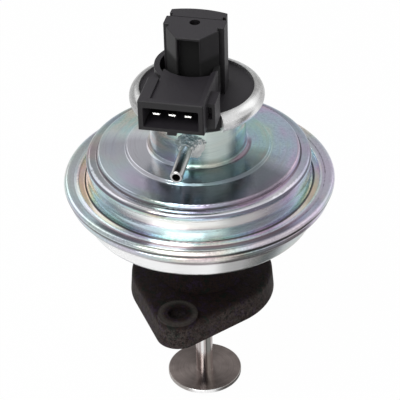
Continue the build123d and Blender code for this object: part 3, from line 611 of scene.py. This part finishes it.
PAN_TINTS_AND_PAINTED_LIGHT = (
    Tint(PanRing.LIP, 0.45, rgb(0.44, 0.42, 0.47)),
    # Painted dark reflection on the front of the lip.
    Tint(PanRing.LIP_PAINTED_REFLECTION, 0.85, rgb(0.15, 0.085, 0.1), Sector(17.0, 40.0, 30.0)),
    Tint(PanRing.LIP_SIDES, 0.4, rgb(0.5, 0.68, 0.72), Sector(-70.0, 20.0, 20.0)),
    Tint(PanRing.LIP_SIDES, 0.35, rgb(0.62, 0.5, 0.74), Sector(96.0, 24.0, 16.0)),
    # Painted shade under the roll.
    Tint(PanRing.ROLL_UNDERSIDE, 0.88, grey(0.08)),
    # Painted shade on the shoulder.
    Tint(PanRing.SHOULDER, 0.6, grey(0.42)),
    # Painted highlight on the front of the pan's wall.
    Tint(PanRing.WALL_PAINTED_HIGHLIGHT, 1.0, grey(1.0), Sector(2.0, 34.0, 12.0), painted_highlight_matte=0.4),
    # Painted dark reflection on the pan's wall to the right.
    Tint(PanRing.WALL_PAINTED_REFLECTION, 0.3, rgb(0.3, 0.3, 0.32), Sector(58.0, 16.0, 14.0)),
    # Painted shade on the bottom corner.
    Tint(PanRing.CORNER, 0.7, grey(0.3)),
)

# The ring has painted shade at the left, and painted highlights and painted shade by turns towards its
# right end.
RING_PAINTED_LIGHT = (
    Tint(CrimpRing.WHOLE, 0.6, grey(0.36), Sector(-62.0, 40.0, 20.0)),
    Tint(CrimpRing.WHOLE, 0.95, grey(0.98), Sector(66.0, 13.0, 16.0)),
    Tint(CrimpRing.WHOLE, 0.5, grey(0.36), Sector(100.0, 12.0, 12.0)),
    Tint(CrimpRing.TOP, 1.0, grey(1.0), Sector(40.0, 9.0, 9.0), painted_highlight_matte=0.6),
)


@dataclass(frozen=True)
class PassivatedZinc(Finish):
    """Bright zinc plating whose thin passivation shows rainbow tints, on a pressed shell, with painted
    highlights, painted reflections and painted shade on some of its rings.
    """

    name: str
    base: float
    tint: float
    roughness: float
    mottle: float
    # The tints, painted highlights, painted reflections and painted shade, laid in order.
    tints: tuple[Tint, ...]
    hues: Stops = RAINBOW
    shadow: float = 0.4
    wander: float = 2.4

    def _mask(self, turned: Round, tint: Tint, cloud: Signal, fine: Signal) -> Signal:
        """Where a tint lies.

        Args:
            turned: the place on the shell.
            tint: the tint.
            cloud: broad noise, which makes the ring's edges wander.
            fine: the drawing streaks, which break up the sector's ends.

        Returns:
            The mask.
        """
        band = tint.ring.value
        place = turned.height if band.by_height else turned.radius
        mask = (place + (cloud - 0.5) * (self.wander * band.soft)).within(band)
        if tint.sector is None:
            return mask
        return mask * (turned.facing(tint.sector) + fine * 0.5 - 0.25).clamped()

    def build(self) -> bpy.types.Material:
        """Makes the plating from drawing streaks, clouds of tint and tinted rings, with painted
        highlights, reflections and shade on some rings.

        Returns:
            The material.
        """
        graph = Graph.of_material(self.name)
        turned = Round(graph)
        fine = turned.streaks(along=1.4, across=2.2)
        broad = turned.streaks(along=0.9, across=0.35, detail=2.0)
        cloud = graph.noise(turned.point, scale=0.028, detail=3.0, rough=0.5)
        grain = graph.noise(turned.point, scale=1.3, detail=4.0, rough=0.75)
        hue = (cloud * 2.4 + broad * 0.5 + fine * 0.15 - 1.05).clamped()
        shade = (fine * 0.5 + (grain - 0.5) * self.mottle + 0.25).clamped()
        silver = graph.ramp(
            shade, ((0.25, grey(self.base * 0.55)), (0.75, grey(self.base * 1.3)))
        )
        colour = graph.mix(self.tint, silver, graph.ramp(hue, self.hues))
        pits = graph.ramp(shade, ((0.2, grey(0.5)), (0.55, grey(1.0))))
        colour = graph.mix(self.shadow, colour, pits, "MULTIPLY")
        # Lays the tints and the painted highlights, reflections and shade; each painted highlight also
        # takes away part of the metallic mirror.
        metal: Input = 1.0
        for tint in self.tints:
            mask = self._mask(turned, tint, cloud, fine)
            colour = graph.mix(mask * tint.strength, colour, tint.colour)
            if tint.painted_highlight_matte:
                metal = metal - mask * tint.painted_highlight_matte
        rough = (fine * 0.12 + grain * 0.1 + (self.roughness - 0.11)).clamped()
        height = turned.streaks(along=2.0, across=5.0) * 0.5 + grain * 0.5
        return graph.surface(
            {
                "Base Color": colour,
                "Metallic": metal,
                "Roughness": rough,
                "Anisotropic": 0.6,
                "Anisotropic Rotation": 0.25,
                "Normal": graph.bump(height, distance=0.03 * MM, strength=0.5),
            }
        )


@dataclass(frozen=True)
class SatinSteel(Finish):
    """Plated sheet steel with a soft satin face and drawing marks round the stem."""

    name: str
    colour: Colour
    roughness: float
    streak: float = 0.25

    def build(self) -> bpy.types.Material:
        """Makes the steel.

        Returns:
            The material.
        """
        graph = Graph.of_material(self.name)
        turned = Round(graph)
        fine = turned.streaks(along=1.5, across=2.5)
        cloud = graph.noise(turned.point, scale=0.15, detail=4.0, rough=0.6)
        speck = graph.noise(turned.point, scale=1.6, detail=4.0, rough=0.7)
        shade = (fine * 0.7 + cloud * 0.7 + speck * 0.9 - 0.65).clamped()
        colour = graph.mix(shade, toned(self.colour, 1.0 - self.streak), self.colour)
        rough = (fine * 0.15 + speck * 0.25 + (self.roughness - 0.2)).clamped()
        height = fine * 0.5 + speck * 0.5
        return graph.surface(
            {
                "Base Color": colour,
                "Metallic": 1.0,
                "Roughness": rough,
                "Normal": graph.bump(height, distance=0.06 * MM, strength=0.6),
            }
        )


@dataclass(frozen=True)
class CastIron(Finish):
    """Near-black sand-cast iron with a coarse grain and faint brown, green and violet stains."""

    name: str = "cast_iron_skin"
    bolt_reach: float = 28.25
    # The bolt holes take painted shade; the bosses' faces round them take painted light.
    bore: Band = Band(0.0, 3.0, 0.5)
    boss_rim: Band = Band(5.9, 5.9, 1.6)
    boss_face: Band = Band(8.9, 12.0, 0.3)
    # Where the plate's sides get painted light, weaker on the left.
    plate_edge: Band = Band(-2.0, 6.6, 1.6)
    left_side: Band = Band(-40.0, -8.0, 6.0)
    # Dust specks and painted light share this pale tone; the bosses take a darker painted light.
    dust_and_painted_light: Colour = rgb(0.13, 0.108, 0.1)
    boss_painted_light: Colour = rgb(0.06, 0.054, 0.048)
    stains: Stops = (
        (0.36, rgb(0.002, 0.01, 0.006)),
        (0.44, rgb(0.003, 0.002, 0.002)),
        (0.49, rgb(0.022, 0.01, 0.008)),
        (0.54, rgb(0.002, 0.002, 0.002)),
        (0.6, rgb(0.024, 0.011, 0.028)),
        (0.68, rgb(0.004, 0.005, 0.004)),
    )

    def build(self) -> bpy.types.Material:
        """Makes the casting's skin, with dust specks, painted light on the plate's sides and the bosses,
        and painted shade in the bolt holes.

        Returns:
            The material.
        """
        graph = Graph.of_material(self.name)
        point = graph.place()
        grain = graph.noise(point, scale=0.75, detail=5.0, rough=0.8)
        fine = graph.noise(point, scale=2.4, detail=3.0, rough=0.7)
        lumps = graph.noise(point, scale=0.3, detail=3.0, rough=0.5)
        stain = graph.noise(point, scale=0.24, detail=5.0, rough=0.8)
        x, y, level = graph.axes(point)
        edge = level.within(self.plate_edge) * (1.0 - x.within(self.left_side) * 0.45)
        lobe = (y * y) ** 0.5 - self.bolt_reach
        reach = (x * x + lobe * lobe) ** 0.5
        boss = reach.within(self.boss_rim) * level.within(self.boss_face)
        # A few dust specks everywhere; on the plate's sides and the bosses the pale tone is painted
        # light.
        speck = ((grain * 0.7 + fine * 0.7 - 0.6) * 4.5).clamped()
        dust_and_painted_light_share = speck * (0.03 + edge * 0.42 + boss * 0.3).clamped()
        colour = graph.mix(dust_and_painted_light_share, graph.ramp(stain, self.stains), self.dust_and_painted_light)
        # Painted light on the bosses' faces.
        colour = graph.mix((boss * (grain * 0.9 + 0.25)).clamped(), colour, self.boss_painted_light)
        # Painted shade: the bolt holes are near black.
        colour = graph.mix(reach.within(self.bore), colour, grey(0.0004))
        height = grain * 0.45 + lumps * 0.35 + fine * 0.2
        return graph.surface(
            {
                "Base Color": colour,
                "Metallic": 0.0,
                "Roughness": (0.5 + fine * 0.3).clamped(),
                "Specular IOR Level": 0.12,
                "Normal": graph.bump(height, distance=0.9 * MM, strength=0.9),
            }
        )


@dataclass(frozen=True)
class PaintedStrip:
    """A line of painted light down a rod: a highlight where it is bright, a dark reflection where it is
    dark.
    """

    sector: Sector
    colour: Colour


@dataclass(frozen=True)
class GroundSteel(Finish):
    """A ground rod, bright, with faint marks along its length and strips of painted light down it."""

    name: str = "ground_steel"
    dark: Colour = rgb(0.42, 0.36, 0.35)
    light: Colour = rgb(0.6, 0.55, 0.54)
    painted_strips: tuple[PaintedStrip, ...] = (
        # Painted highlights at 5 and 50 degrees and a painted dark reflection at 31 degrees.
        PaintedStrip(Sector(5.0, 5.0, 9.0), grey(1.0)),
        PaintedStrip(Sector(31.0, 3.0, 5.0), rgb(0.14, 0.14, 0.125)),
        PaintedStrip(Sector(50.0, 10.0, 8.0), rgb(1.0, 1.0, 0.95)),
    )

    def build(self) -> bpy.types.Material:
        """Makes the ground steel.

        Returns:
            The material.
        """
        graph = Graph.of_material(self.name)
        turned = Round(graph)
        drawn = graph.noise(graph.scaled(turned.point, (1.6, 1.6, 0.05)), scale=1.0, detail=3.0)
        rings = graph.noise(graph.scaled(turned.point, (0.05, 0.05, 4.0)), scale=1.0, detail=2.0)
        colour = graph.ramp(drawn, ((0.35, self.dark), (0.6, self.light)))
        # Lays the painted highlights and the painted dark reflection.
        for strip in self.painted_strips:
            mask = turned.facing(strip.sector) * (drawn * 0.5 + 0.7)
            colour = graph.mix(mask.clamped(), colour, strip.colour)
        return graph.surface(
            {
                "Base Color": colour,
                "Metallic": 1.0,
                "Roughness": (0.1 + rings * 0.16).clamped(),
                "Normal": graph.bump(rings, distance=0.01 * MM, strength=0.3),
            }
        )


@dataclass(frozen=True)
class TurnedSteel(Finish):
    """A plate faced on a lathe and darkened by heat, with a painted dark reflection of the stem and a
    painted highlight on the front of its rim.
    """

    name: str = "turned_steel"
    dark: Colour = rgb(0.2, 0.165, 0.155)
    light: Colour = rgb(0.4, 0.345, 0.325)
    painted_reflection: Colour = rgb(0.02, 0.016, 0.016)
    painted_reflection_reach: Band = Band(0.0, 8.5, 5.0)
    painted_reflection_sector: Sector = Sector(14.0, 4.0, 13.0)
    rim: Band = Band(12.9, 14.0, 0.12)
    rim_tone: Colour = rgb(0.5, 0.48, 0.46)
    painted_highlight_sector: Sector = Sector(18.0, 14.0, 16.0)

    def build(self) -> bpy.types.Material:
        """Makes the turned face.

        Returns:
            The material.
        """
        graph = Graph.of_material(self.name)
        turned = Round(graph)
        rings = turned.streaks(along=0.8, across=4.0)
        cloud = graph.noise(turned.point, scale=0.25, detail=4.0, rough=0.6)
        shade = (rings * 0.8 + cloud * 0.6 - 0.3).clamped()
        colour = graph.mix(shade, self.dark, self.light)
        # Painted dark reflection of the stem.
        painted_reflection = turned.facing(self.painted_reflection_sector) * turned.radius.within(self.painted_reflection_reach)
        colour = graph.mix(painted_reflection, colour, self.painted_reflection)
        rim = turned.radius.within(self.rim)
        colour = graph.mix(rim * 0.6, colour, self.rim_tone)
        # Painted highlight on the front of the rim.
        colour = graph.mix(rim * turned.facing(self.painted_highlight_sector), colour, grey(1.0))
        return graph.surface(
            {
                "Base Color": colour,
                "Metallic": 1.0,
                "Roughness": (0.24 + cloud * 0.16).clamped(),
                "Anisotropic": 0.7,
                "Anisotropic Rotation": 0.25,
                "Normal": graph.bump(rings, distance=0.02 * MM, strength=0.5),
            }
        )


@dataclass(frozen=True)
class BlackPlastic(Finish):
    """Glass-filled black plastic with a fine dull texture, with painted light on faces that look up or
    to the right and painted shade in the tower's recess and foot.
    """

    name: str = "black_plastic"
    dark: Colour = rgb(0.0049, 0.00455, 0.00518)
    light: Colour = rgb(0.0112, 0.00994, 0.01162)
    # The next two tones are painted light: on faces that look up or to the right, and on the shroud's
    # right flank.
    pale: Colour = rgb(0.0322, 0.0287, 0.035)
    flank_painted_light: Colour = rgb(0.084, 0.077, 0.0875)
    clocking: float = 4.3
    # Where the painted light on the flank and the painted shade in the recess and foot lie.
    flank_along: Band = Band(-40.0, -12.0, 1.0)
    recess_across: Band = Band(-3.3, 3.3, 0.3)
    recess_along: Band = Band(-9.9, -6.0, 0.4)
    recess_level: Band = Band(86.0, 102.9, 0.3)
    foot_reach_squared: Band = Band(0.0, 127.0, 4.0)
    foot_along: Band = Band(-12.0, -3.6, 0.4)
    foot_level: Band = Band(86.0, 95.2, 1.6)

    def build(self) -> bpy.types.Material:
        """Makes the moulded plastic.

        Returns:
            The material.
        """
        graph = Graph.of_material(self.name)
        point = graph.place()
        speckle = graph.noise(point, scale=3.2, detail=4.0, rough=0.6)
        flow = graph.noise(graph.scaled(point, (0.35, 0.35, 0.08)), scale=1.0, detail=3.0, rough=0.5)
        shade = (speckle * 0.7 + flow * 0.7 - 0.2).clamped()
        colour = graph.mix(shade, self.dark, self.light)
        east, _, up = graph.axes(graph.node("ShaderNodeNewGeometry", {}, {}, "Normal"))
        x, y, level = graph.axes(point)
        turn = radians(self.clocking)
        across = x * cos(turn) + y * sin(turn)
        along = y * cos(turn) - x * sin(turn)
        # Faces that look up or to the right get painted light, the shroud's flank most of all.
        painted_light_faces = up.rise(start=0.6, width=0.4) * 0.85 + east.rise(start=0.8, width=0.2) * 0.7
        colour = graph.mix((painted_light_faces * (speckle * 0.8 + 0.4)).clamped(), colour, self.pale)
        flank = east.rise(start=0.9, width=0.09) * along.within(self.flank_along)
        colour = graph.mix(flank * 0.3, colour, self.flank_painted_light)
        # Painted shade: the tower's front recess and its foot behind the panel are painted near black.
        recess = across.within(self.recess_across) * along.within(self.recess_along)
        recess = recess * level.within(self.recess_level)
        foot = (x * x + y * y).within(self.foot_reach_squared) * along.within(self.foot_along)
        foot = foot * level.within(self.foot_level)
        painted_shade = recess.larger(foot)
        colour = graph.mix(painted_shade * 0.95, colour, grey(0.0005))
        return graph.surface(
            {
                "Base Color": colour,
                "Metallic": 0.0,
                "Roughness": (0.42 + speckle * 0.16 + flow * 0.06 + painted_shade * 0.35).clamped(),
                "Specular IOR Level": 0.36,
                "Normal": graph.bump(speckle, distance=0.08 * MM, strength=0.6),
            }
        )


@dataclass(frozen=True)
class SoftSolid(Finish):
    """A plain non-metal with a little mottling, for rubber, graphite, ceramic and the like."""

    name: str
    colour: Colour
    roughness: float
    grain: float = 1.5

    def build(self) -> bpy.types.Material:
        """Makes the material.

        Returns:
            The material.
        """
        graph = Graph.of_material(self.name)
        mottle = graph.noise(graph.place(), scale=self.grain, detail=4.0, rough=0.6)
        return graph.surface(
            {
                "Base Color": graph.mix(mottle, self.colour, toned(self.colour, 1.35)),
                "Roughness": (mottle * 0.2 + (self.roughness - 0.1)).clamped(),
                "Normal": graph.bump(mottle, distance=0.04 * MM, strength=0.4),
            }
        )


@dataclass(frozen=True)
class BrazeMetal(Finish):
    """Flowed braze, dull above the tube, with a painted highlight below it to the right."""

    name: str = "flowed_braze"
    height: float = 68.6
    across: float = 2.0
    dull: Colour = rgb(0.36, 0.42, 0.43)
    # The painted highlight's colour.
    bright: Colour = rgb(1.0, 1.0, 0.99)

    def build(self) -> bpy.types.Material:
        """Makes the braze.

        Returns:
            The material.
        """
        graph = Graph.of_material(self.name)
        point = graph.place()
        flow = graph.noise(point, scale=0.9, detail=4.0, rough=0.7)
        x, _, height = graph.axes(point)
        # Painted highlight: white and less metallic below the tube and to the right.
        lean = (self.height - height) * 0.06 + (x - self.across) * 0.03
        painted_highlight = ((flow + lean - 0.47) * 9.0).clamped()
        return graph.surface(
            {
                "Base Color": graph.mix(painted_highlight, self.dull, self.bright),
                "Metallic": 1.0 - painted_highlight * 0.9,
                "Roughness": 0.14,
                "Normal": graph.bump(flow, distance=0.9 * MM, strength=0.9),
            }
        )


class Tone(Enum):
    """The plainer finishes, by what they are made of."""

    ZINC_STEEL = SatinSteel("zinc_steel", rgb(0.6, 0.59, 0.56), 0.28)
    SPRING_STEEL = SatinSteel("spring_wire", grey(0.42), 0.3)
    TINNED = SatinSteel("tinned_blade", rgb(0.82, 0.81, 0.78), 0.22)
    BRONZE = SatinSteel("sintered_bronze", rgb(0.42, 0.3, 0.17), 0.45)
    NIPPLE = SatinSteel("nipple_steel", grey(0.6), 0.22)
    RUBBER = SoftSolid("nitrile_rubber", grey(0.018), 0.6)
    GRAPHITE = SoftSolid("pressed_graphite", rgb(0.05, 0.05, 0.052), 0.5)
    CERAMIC = SoftSolid("card_ceramic", rgb(0.6, 0.6, 0.56), 0.4)
    ACETAL = SoftSolid("natural_acetal", rgb(0.62, 0.6, 0.52), 0.35)


class Zinc(Enum):
    """The three zinc platings, by the pressing that wears each."""

    DOME = PassivatedZinc(
        "passivated_zinc",
        base=0.66,
        tint=0.8,
        roughness=0.17,
        mottle=1.7,
        tints=DOME_TINTS_AND_PAINTED_LIGHT,
    )
    PAN = PassivatedZinc(
        "bright_zinc",
        base=0.84,
        tint=0.36,
        roughness=0.2,
        mottle=0.6,
        tints=PAN_TINTS_AND_PAINTED_LIGHT,
    )
    RING = PassivatedZinc(
        "crimp_ring_zinc",
        base=0.66,
        tint=0.04,
        roughness=0.26,
        mottle=1.2,
        tints=RING_PAINTED_LIGHT,
    )


def dress(node: str, finish: Finish) -> None:
    """Gives one of the frame's solids its finish.

    Args:
        node: the solid's name.
        finish: the finish.
    """
    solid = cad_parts[node]
    solid.data.materials.clear()
    solid.data.materials.append(finish.material())
    for polygon in solid.data.polygons:
        polygon.material_index = 0
    log.info("dressed %s in %s", node, finish.material().name)


def place_mesh(
    name: str, maker: bmesh.types.BMesh, finish: Finish, body: str
) -> bpy.types.Object:
    """Turns a finished mesh into a smooth piece that rides on a body.

    Args:
        name: the piece's name.
        maker: the mesh under construction, which is freed.
        finish: its finish.
        body: the body that it moves with.

    Returns:
        The piece.
    """
    bmesh.ops.recalc_face_normals(maker, faces=maker.faces)
    mesh = bpy.data.meshes.new(name)
    maker.to_mesh(mesh)
    maker.free()
    for polygon in mesh.polygons:
        polygon.use_smooth = True
    mesh.materials.append(finish.material())
    piece = bpy.data.objects.new(name, mesh)
    bpy.context.scene.collection.objects.link(piece)
    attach(piece, body)
    log.info("made %s with %d faces", name, len(mesh.polygons))
    return piece


def soft_twin(node: str, finish: Finish, body: Optional[str] = None) -> bpy.types.Object:
    """Shows a copy of a solid in the solid's place, and hides the solid.

    Args:
        node: the solid's name.
        finish: the copy's finish.
        body: the body that it rides on, or nothing to leave it unattached.

    Returns:
        The copy.
    """
    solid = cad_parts[node]
    mesh = solid.data.copy()
    mesh.transform(solid.matrix_world)
    mesh.materials.clear()
    mesh.materials.append(finish.material())
    twin = bpy.data.objects.new(f"{node}_soft", mesh)
    bpy.context.scene.collection.objects.link(twin)
    if body:
        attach(twin, body)
    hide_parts(node)
    log.info("made %s for %s", twin.name, node)
    return twin


def coil(node: str) -> None:
    """Shows a copy of a spring in its solid's place, riding on the valve body.

    Args:
        node: the spring's solid.
    """
    twin = soft_twin(node, Tone.SPRING_STEEL.value, "valve_body")
    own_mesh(twin)


@dataclass
class GasSide:
    """The cast flange, with its guide and seal, and the stem and disc that hang below it."""

    def build(self) -> None:
        """Dresses the solids that meet the exhaust gas."""
        dress("flange_casting", CastIron())
        dress("stem_guide", Tone.BRONZE.value)
        dress("stem_seal", Tone.GRAPHITE.value)
        dress("shell_gasket", Tone.GRAPHITE.value)
        dress("seal_retainer", Tone.ZINC_STEEL.value)
        dress("valve_stem", GroundSteel())
        dress("valve_disc", TurnedSteel())


@dataclass
class VacuumChamber:
    """The two pressed shells with the diaphragm and its spring between them."""

    lift: float = 7.0 * MM
    bead_height: float = 2.5 * MM
    grip_height: float = 1.0 * MM

    def _membrane(self) -> None:
        """Shows a copy of the diaphragm in its solid's place, with its placing baked into its mesh."""
        twin = soft_twin("diaphragm", Tone.RUBBER.value)
        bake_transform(twin)

    def build(self) -> None:
        """Dresses the chamber's solids."""
        dress("upper_shell", Zinc.DOME.value)
        dress("lower_shell", Zinc.PAN.value)
        for node in ("shell_rivets", "lower_plate", "diaphragm_cup", "stem_nut", "spring_seat"):
            dress(node, Tone.ZINC_STEEL.value)
        self._membrane()
        coil("return_spring")


@dataclass
class Nipple:
    """The vacuum nipple with the lumpy fillet of braze at its root."""

    bearing: float = radians(5.5)
    height: float = 68.6 * MM
    wall_radius: float = 15.8 * MM
    tube_radius: float = 2.0 * MM
    foot_radius: float = 2.35 * MM
    spread: float = 4.4 * MM
    lean: float = 0.75
    lean_angle: float = radians(-32.0)
    length: float = 4.0 * MM
    sink: float = 0.25 * MM
    hollowness: float = 1.4
    lumpiness: float = 0.4
    lump_pitch: float = 2.2
    roughness: float = 0.25
    rough_pitch: float = 7.0
    rough_rise: float = 9.0
    rough_start: float = 5.0
    unevenness: float = 0.06
    rings: int = 20
    segments: int = 64

    def _frame(self) -> Matrix:
        """Works out the tube's own axes.

        Returns:
            The axes, of which the third runs out of the neck.
        """
        out = Vector((sin(self.bearing), -cos(self.bearing), 0.0))
        side = Vector((cos(self.bearing), sin(self.bearing), 0.0))
        up = Vector((0.0, 0.0, 1.0))
        turned = Matrix((side, up, out)).transposed().to_4x4()
        return Matrix.Translation((0.0, 0.0, self.height)) @ turned

    def _braze(self) -> bmesh.types.BMesh:
        """The fillet: rings that shrink from the neck to the tube, with lumps and runs.

        Returns:
            The mesh under construction.
        """
        maker = bmesh.new()
        turned = self._frame()
        rows: list[list[bmesh.types.BMVert]] = []
        for ring in range(self.rings + 1):
            part = ring / self.rings
            row = []
            for segment in range(self.segments):
                angle = tau * segment / self.segments
                x, y = cos(angle), sin(angle)
                pitch = self.lump_pitch
                lump = noise.noise(Vector((pitch * x, pitch * y, pitch * part)))
                pitch = self.rough_pitch
                level = self.rough_rise * part + self.rough_start
                fine = noise.noise(Vector((pitch * x, pitch * y, level)))
                run = 1.0 + self.lumpiness * lump + self.roughness * fine
                run += self.lean * max(cos(angle - self.lean_angle), 0.0)
                fall = (1.0 - part) ** self.hollowness
                radius = self.foot_radius + (self.spread - self.foot_radius) * fall * run
                if ring == self.rings:
                    radius = self.tube_radius
                along = self.length * part * (1.0 + self.unevenness * lump)
                across, rise = radius * x, radius * y
                wall = (self.wall_radius**2 - across**2) ** 0.5
                start = wall - self.sink
                row.append(maker.verts.new(turned @ Vector((across, rise, start + along))))
            rows.append(row)
        for low, high in zip(rows, rows[1:]):
            for index in range(self.segments):
                after = (index + 1) % self.segments
                maker.faces.new((low[index], low[after], high[after], high[index]))
        maker.faces.new(rows[0])
        maker.faces.new(rows[-1])
        return maker

    def build(self) -> None:
        """Makes the braze and dresses the tube."""
        dress("vacuum_nipple", Tone.NIPPLE.value)
        piece = place_mesh("nipple_braze_fillet", self._braze(), BrazeMetal(), "valve_body")
        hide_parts("nipple_braze")


@dataclass
class LiftSensor:
    """The position sensor on the neck, its crimp ring and its moving parts."""

    travel: float = 7.2 * MM

    def build(self) -> None:
        """Dresses the sensor's solids."""
        dress("crimp_ring", Zinc.RING.value)
        for node in ("sensor_housing", "sensor_cover"):
            dress(node, BlackPlastic())
        for node in ("terminal_1", "terminal_2", "terminal_3"):
            dress(node, Tone.TINNED.value)
        dress("sensor_seal", Tone.RUBBER.value)
        dress("resistor_card", Tone.CERAMIC.value)
        dress("sensor_plunger", GroundSteel())
        dress("wiper_carrier", Tone.ACETAL.value)
        dress("wiper_contacts", Tone.BRONZE.value)
        coil("plunger_spring")


@dataclass(frozen=True)
class Lamp:
    """A square soft box that faces the valve.

    Its bearing runs from the front towards the right and its height is an elevation, both in
    degrees. Its reach is its distance from the point that it faces, and its size the side of its
    square, both in metres.
    """

    name: str
    bearing: float
    height: float
    reach: float
    size: float
    watts: float

    def build(self, aim: Vector) -> None:
        """Hangs the lamp.

        Args:
            aim: the point that it faces.
        """
        data = bpy.data.lights.new(self.name, "AREA")
        data.shape = "SQUARE"
        data.size = self.size
        data.energy = self.watts
        lamp = bpy.data.objects.new(self.name, data)
        turn, rise = radians(self.bearing), radians(self.height)
        away = Vector((sin(turn) * cos(rise), -cos(turn) * cos(rise), sin(rise)))
        lamp.location = aim + away * self.reach
        lamp.rotation_euler = away.to_track_quat("Z", "Y").to_euler()
        bpy.context.scene.collection.objects.link(lamp)


@dataclass
class Studio:
    """The camera, the lamps, the floor and the world."""

    elevation: float = radians(35.26)
    azimuth: float = radians(17.5)
    roll: float = radians(-1.68)
    distance: float = 0.576
    focal_pixels: float = 1731.5
    frame_pixels: float = 400.0
    sensor_width: float = 36.0
    aim_height: float = 46.9 * MM
    aim_shift: float = -8.93 * MM
    nearest: float = 0.01
    farthest: float = 50.0
    lamps: tuple[Lamp, ...] = (
        Lamp("key", -20.0, 52.0, reach=0.8, size=0.4, watts=3.0),
        Lamp("left", -122.0, 40.0, reach=0.8, size=0.5, watts=0.8),
        Lamp("right", 140.0, 35.0, reach=0.8, size=0.6, watts=0.5),
        Lamp("front", 2.0, 12.0, reach=0.9, size=0.6, watts=1.8),
    )
    floor_gap: float = 1.0 * MM
    floor_reach: float = 6.0
    daylight: float = 0.4
    ceiling: float = 0.03
    side_walls: float = 0.62
    floor_tone: float = 0.9
    floor_glow: float = 0.985
    floor_mirrored_glow: float = 0.6
    card_tone: float = 0.12
    card_share: float = 0.9
    card: Sector = Sector(76.0, 30.0, 14.0)

    def _camera(self) -> None:
        """Places the camera at the photograph's viewpoint."""
        back = Vector(
            (
                sin(self.azimuth) * cos(self.elevation),
                -cos(self.azimuth) * cos(self.elevation),
                sin(self.elevation),
            )
        )
        right = Vector((cos(self.azimuth), sin(self.azimuth), 0.0))
        up = back.cross(right)
        eye = Vector((0.0, 0.0, self.aim_height)) + up * self.aim_shift + back * self.distance
        rolled_right = right * cos(self.roll) + up * sin(self.roll)
        rolled_up = up * cos(self.roll) - right * sin(self.roll)
        data = bpy.data.cameras.new("camera")
        data.sensor_width = self.sensor_width
        data.lens = self.focal_pixels / self.frame_pixels * self.sensor_width
        data.clip_start = self.nearest
        data.clip_end = self.farthest
        camera = bpy.data.objects.new("camera", data)
        bpy.context.scene.collection.objects.link(camera)
        axes = Matrix((rolled_right, rolled_up, back)).transposed().to_4x4()
        camera.matrix_world = Matrix.Translation(eye) @ axes
        bpy.context.scene.camera = camera

    def _world(self) -> None:
        """Lights the valve plainly, and gives its mirrors a white backdrop and a dim ceiling."""
        world = bpy.data.worlds.new("studio")
        graph = Graph(world)
        direct, mirrored = graph.seen()
        east, north, up = graph.axes(graph.node("ShaderNodeTexCoord", {}, {}, "Generated"))
        across = east * cos(self.azimuth) + north * sin(self.azimuth)
        away = north * cos(self.azimuth) - east * sin(self.azimuth)
        aside = (across * across) ** 0.5
        # The ceiling is a dark strip behind the valve, between side walls. The camera's wall is white.
        behind = away.rise(start=-0.1, width=0.5) * up.rise(start=0.56, width=0.12)
        strip = aside.fall(start=0.03, width=0.14) * behind
        front = away.fall(start=-0.2, width=0.35) * aside.fall(start=0.4, width=0.3)
        upper = graph.mix(strip, grey(self.side_walls), grey(self.ceiling))
        upper = graph.mix(front, upper, grey(1.0))
        room = graph.mix(up.rise(start=-0.02, width=0.14), grey(1.0), upper)
        light = graph.mix(mirrored, grey(self.daylight), room)
        colour = graph.mix(direct, light, grey(1.0))
        shade = graph.node("ShaderNodeBackground", {}, {"Color": colour, "Strength": 1.0})
        graph.add("ShaderNodeOutputWorld", {}, {"Surface": shade})
        bpy.context.scene.world = world

    def _floor(self) -> None:
        """Lays a plain pale floor just under the valve."""
        low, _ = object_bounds()
        maker = bmesh.new()
        reach = self.floor_reach
        corners = [(-reach, -reach), (reach, -reach), (reach, reach), (-reach, reach)]
        maker.faces.new([maker.verts.new((x, y, low[2] - self.floor_gap)) for x, y in corners])
        mesh = bpy.data.meshes.new("floor")
        maker.to_mesh(mesh)
        maker.free()
        mesh.materials.append(self._floor_material())
        floor = bpy.data.objects.new("floor", mesh)
        bpy.context.scene.collection.objects.link(floor)
        floor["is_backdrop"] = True

    def _floor_material(self) -> bpy.types.Material:
        """Makes a floor that takes the valve's shadow and is seen as almost white.

        Returns:
            The material.
        """
        graph = Graph.of_material("pale_floor")
        matte = graph.node("ShaderNodeBsdfDiffuse", {}, {"Color": grey(self.floor_tone)})
        white = graph.node("ShaderNodeEmission", {}, {"Color": grey(1.0), "Strength": 1.0})
        dark = graph.node("ShaderNodeEmission", {}, {"Color": grey(self.card_tone), "Strength": 1.0})
        direct, mirrored = graph.seen()
        glow = direct * self.floor_glow + mirrored * self.floor_mirrored_glow
        lit = graph.node("ShaderNodeMixShader", {}, {0: glow, 1: matte, 2: white})
        # Mirrors see a dark card on the floor to the right of the valve.
        shade = mirrored * Round(graph).facing(self.card) * self.card_share
        shown = graph.node("ShaderNodeMixShader", {}, {0: shade, 1: lit, 2: dark})
        graph.add("ShaderNodeOutputMaterial", {}, {"Surface": shown})
        return graph.owner

    def build(self) -> None:
        """Sets up everything round the valve."""
        bpy.context.scene.view_settings.view_transform = "Standard"
        self._camera()
        for lamp in self.lamps:
            lamp.build(Vector((0.0, 0.0, self.aim_height)))
        self._world()
        self._floor()


def main() -> None:
    """Builds the valve and its studio."""
    logging.basicConfig(level=logging.INFO, format="%(message)s")
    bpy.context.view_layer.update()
    for assembly in (GasSide(), VacuumChamber(), Nipple(), LiftSensor()):
        assembly.build()
        log.info("built %s", type(assembly).__name__)
    Studio().build()


if __name__ == "__main__":
    main()
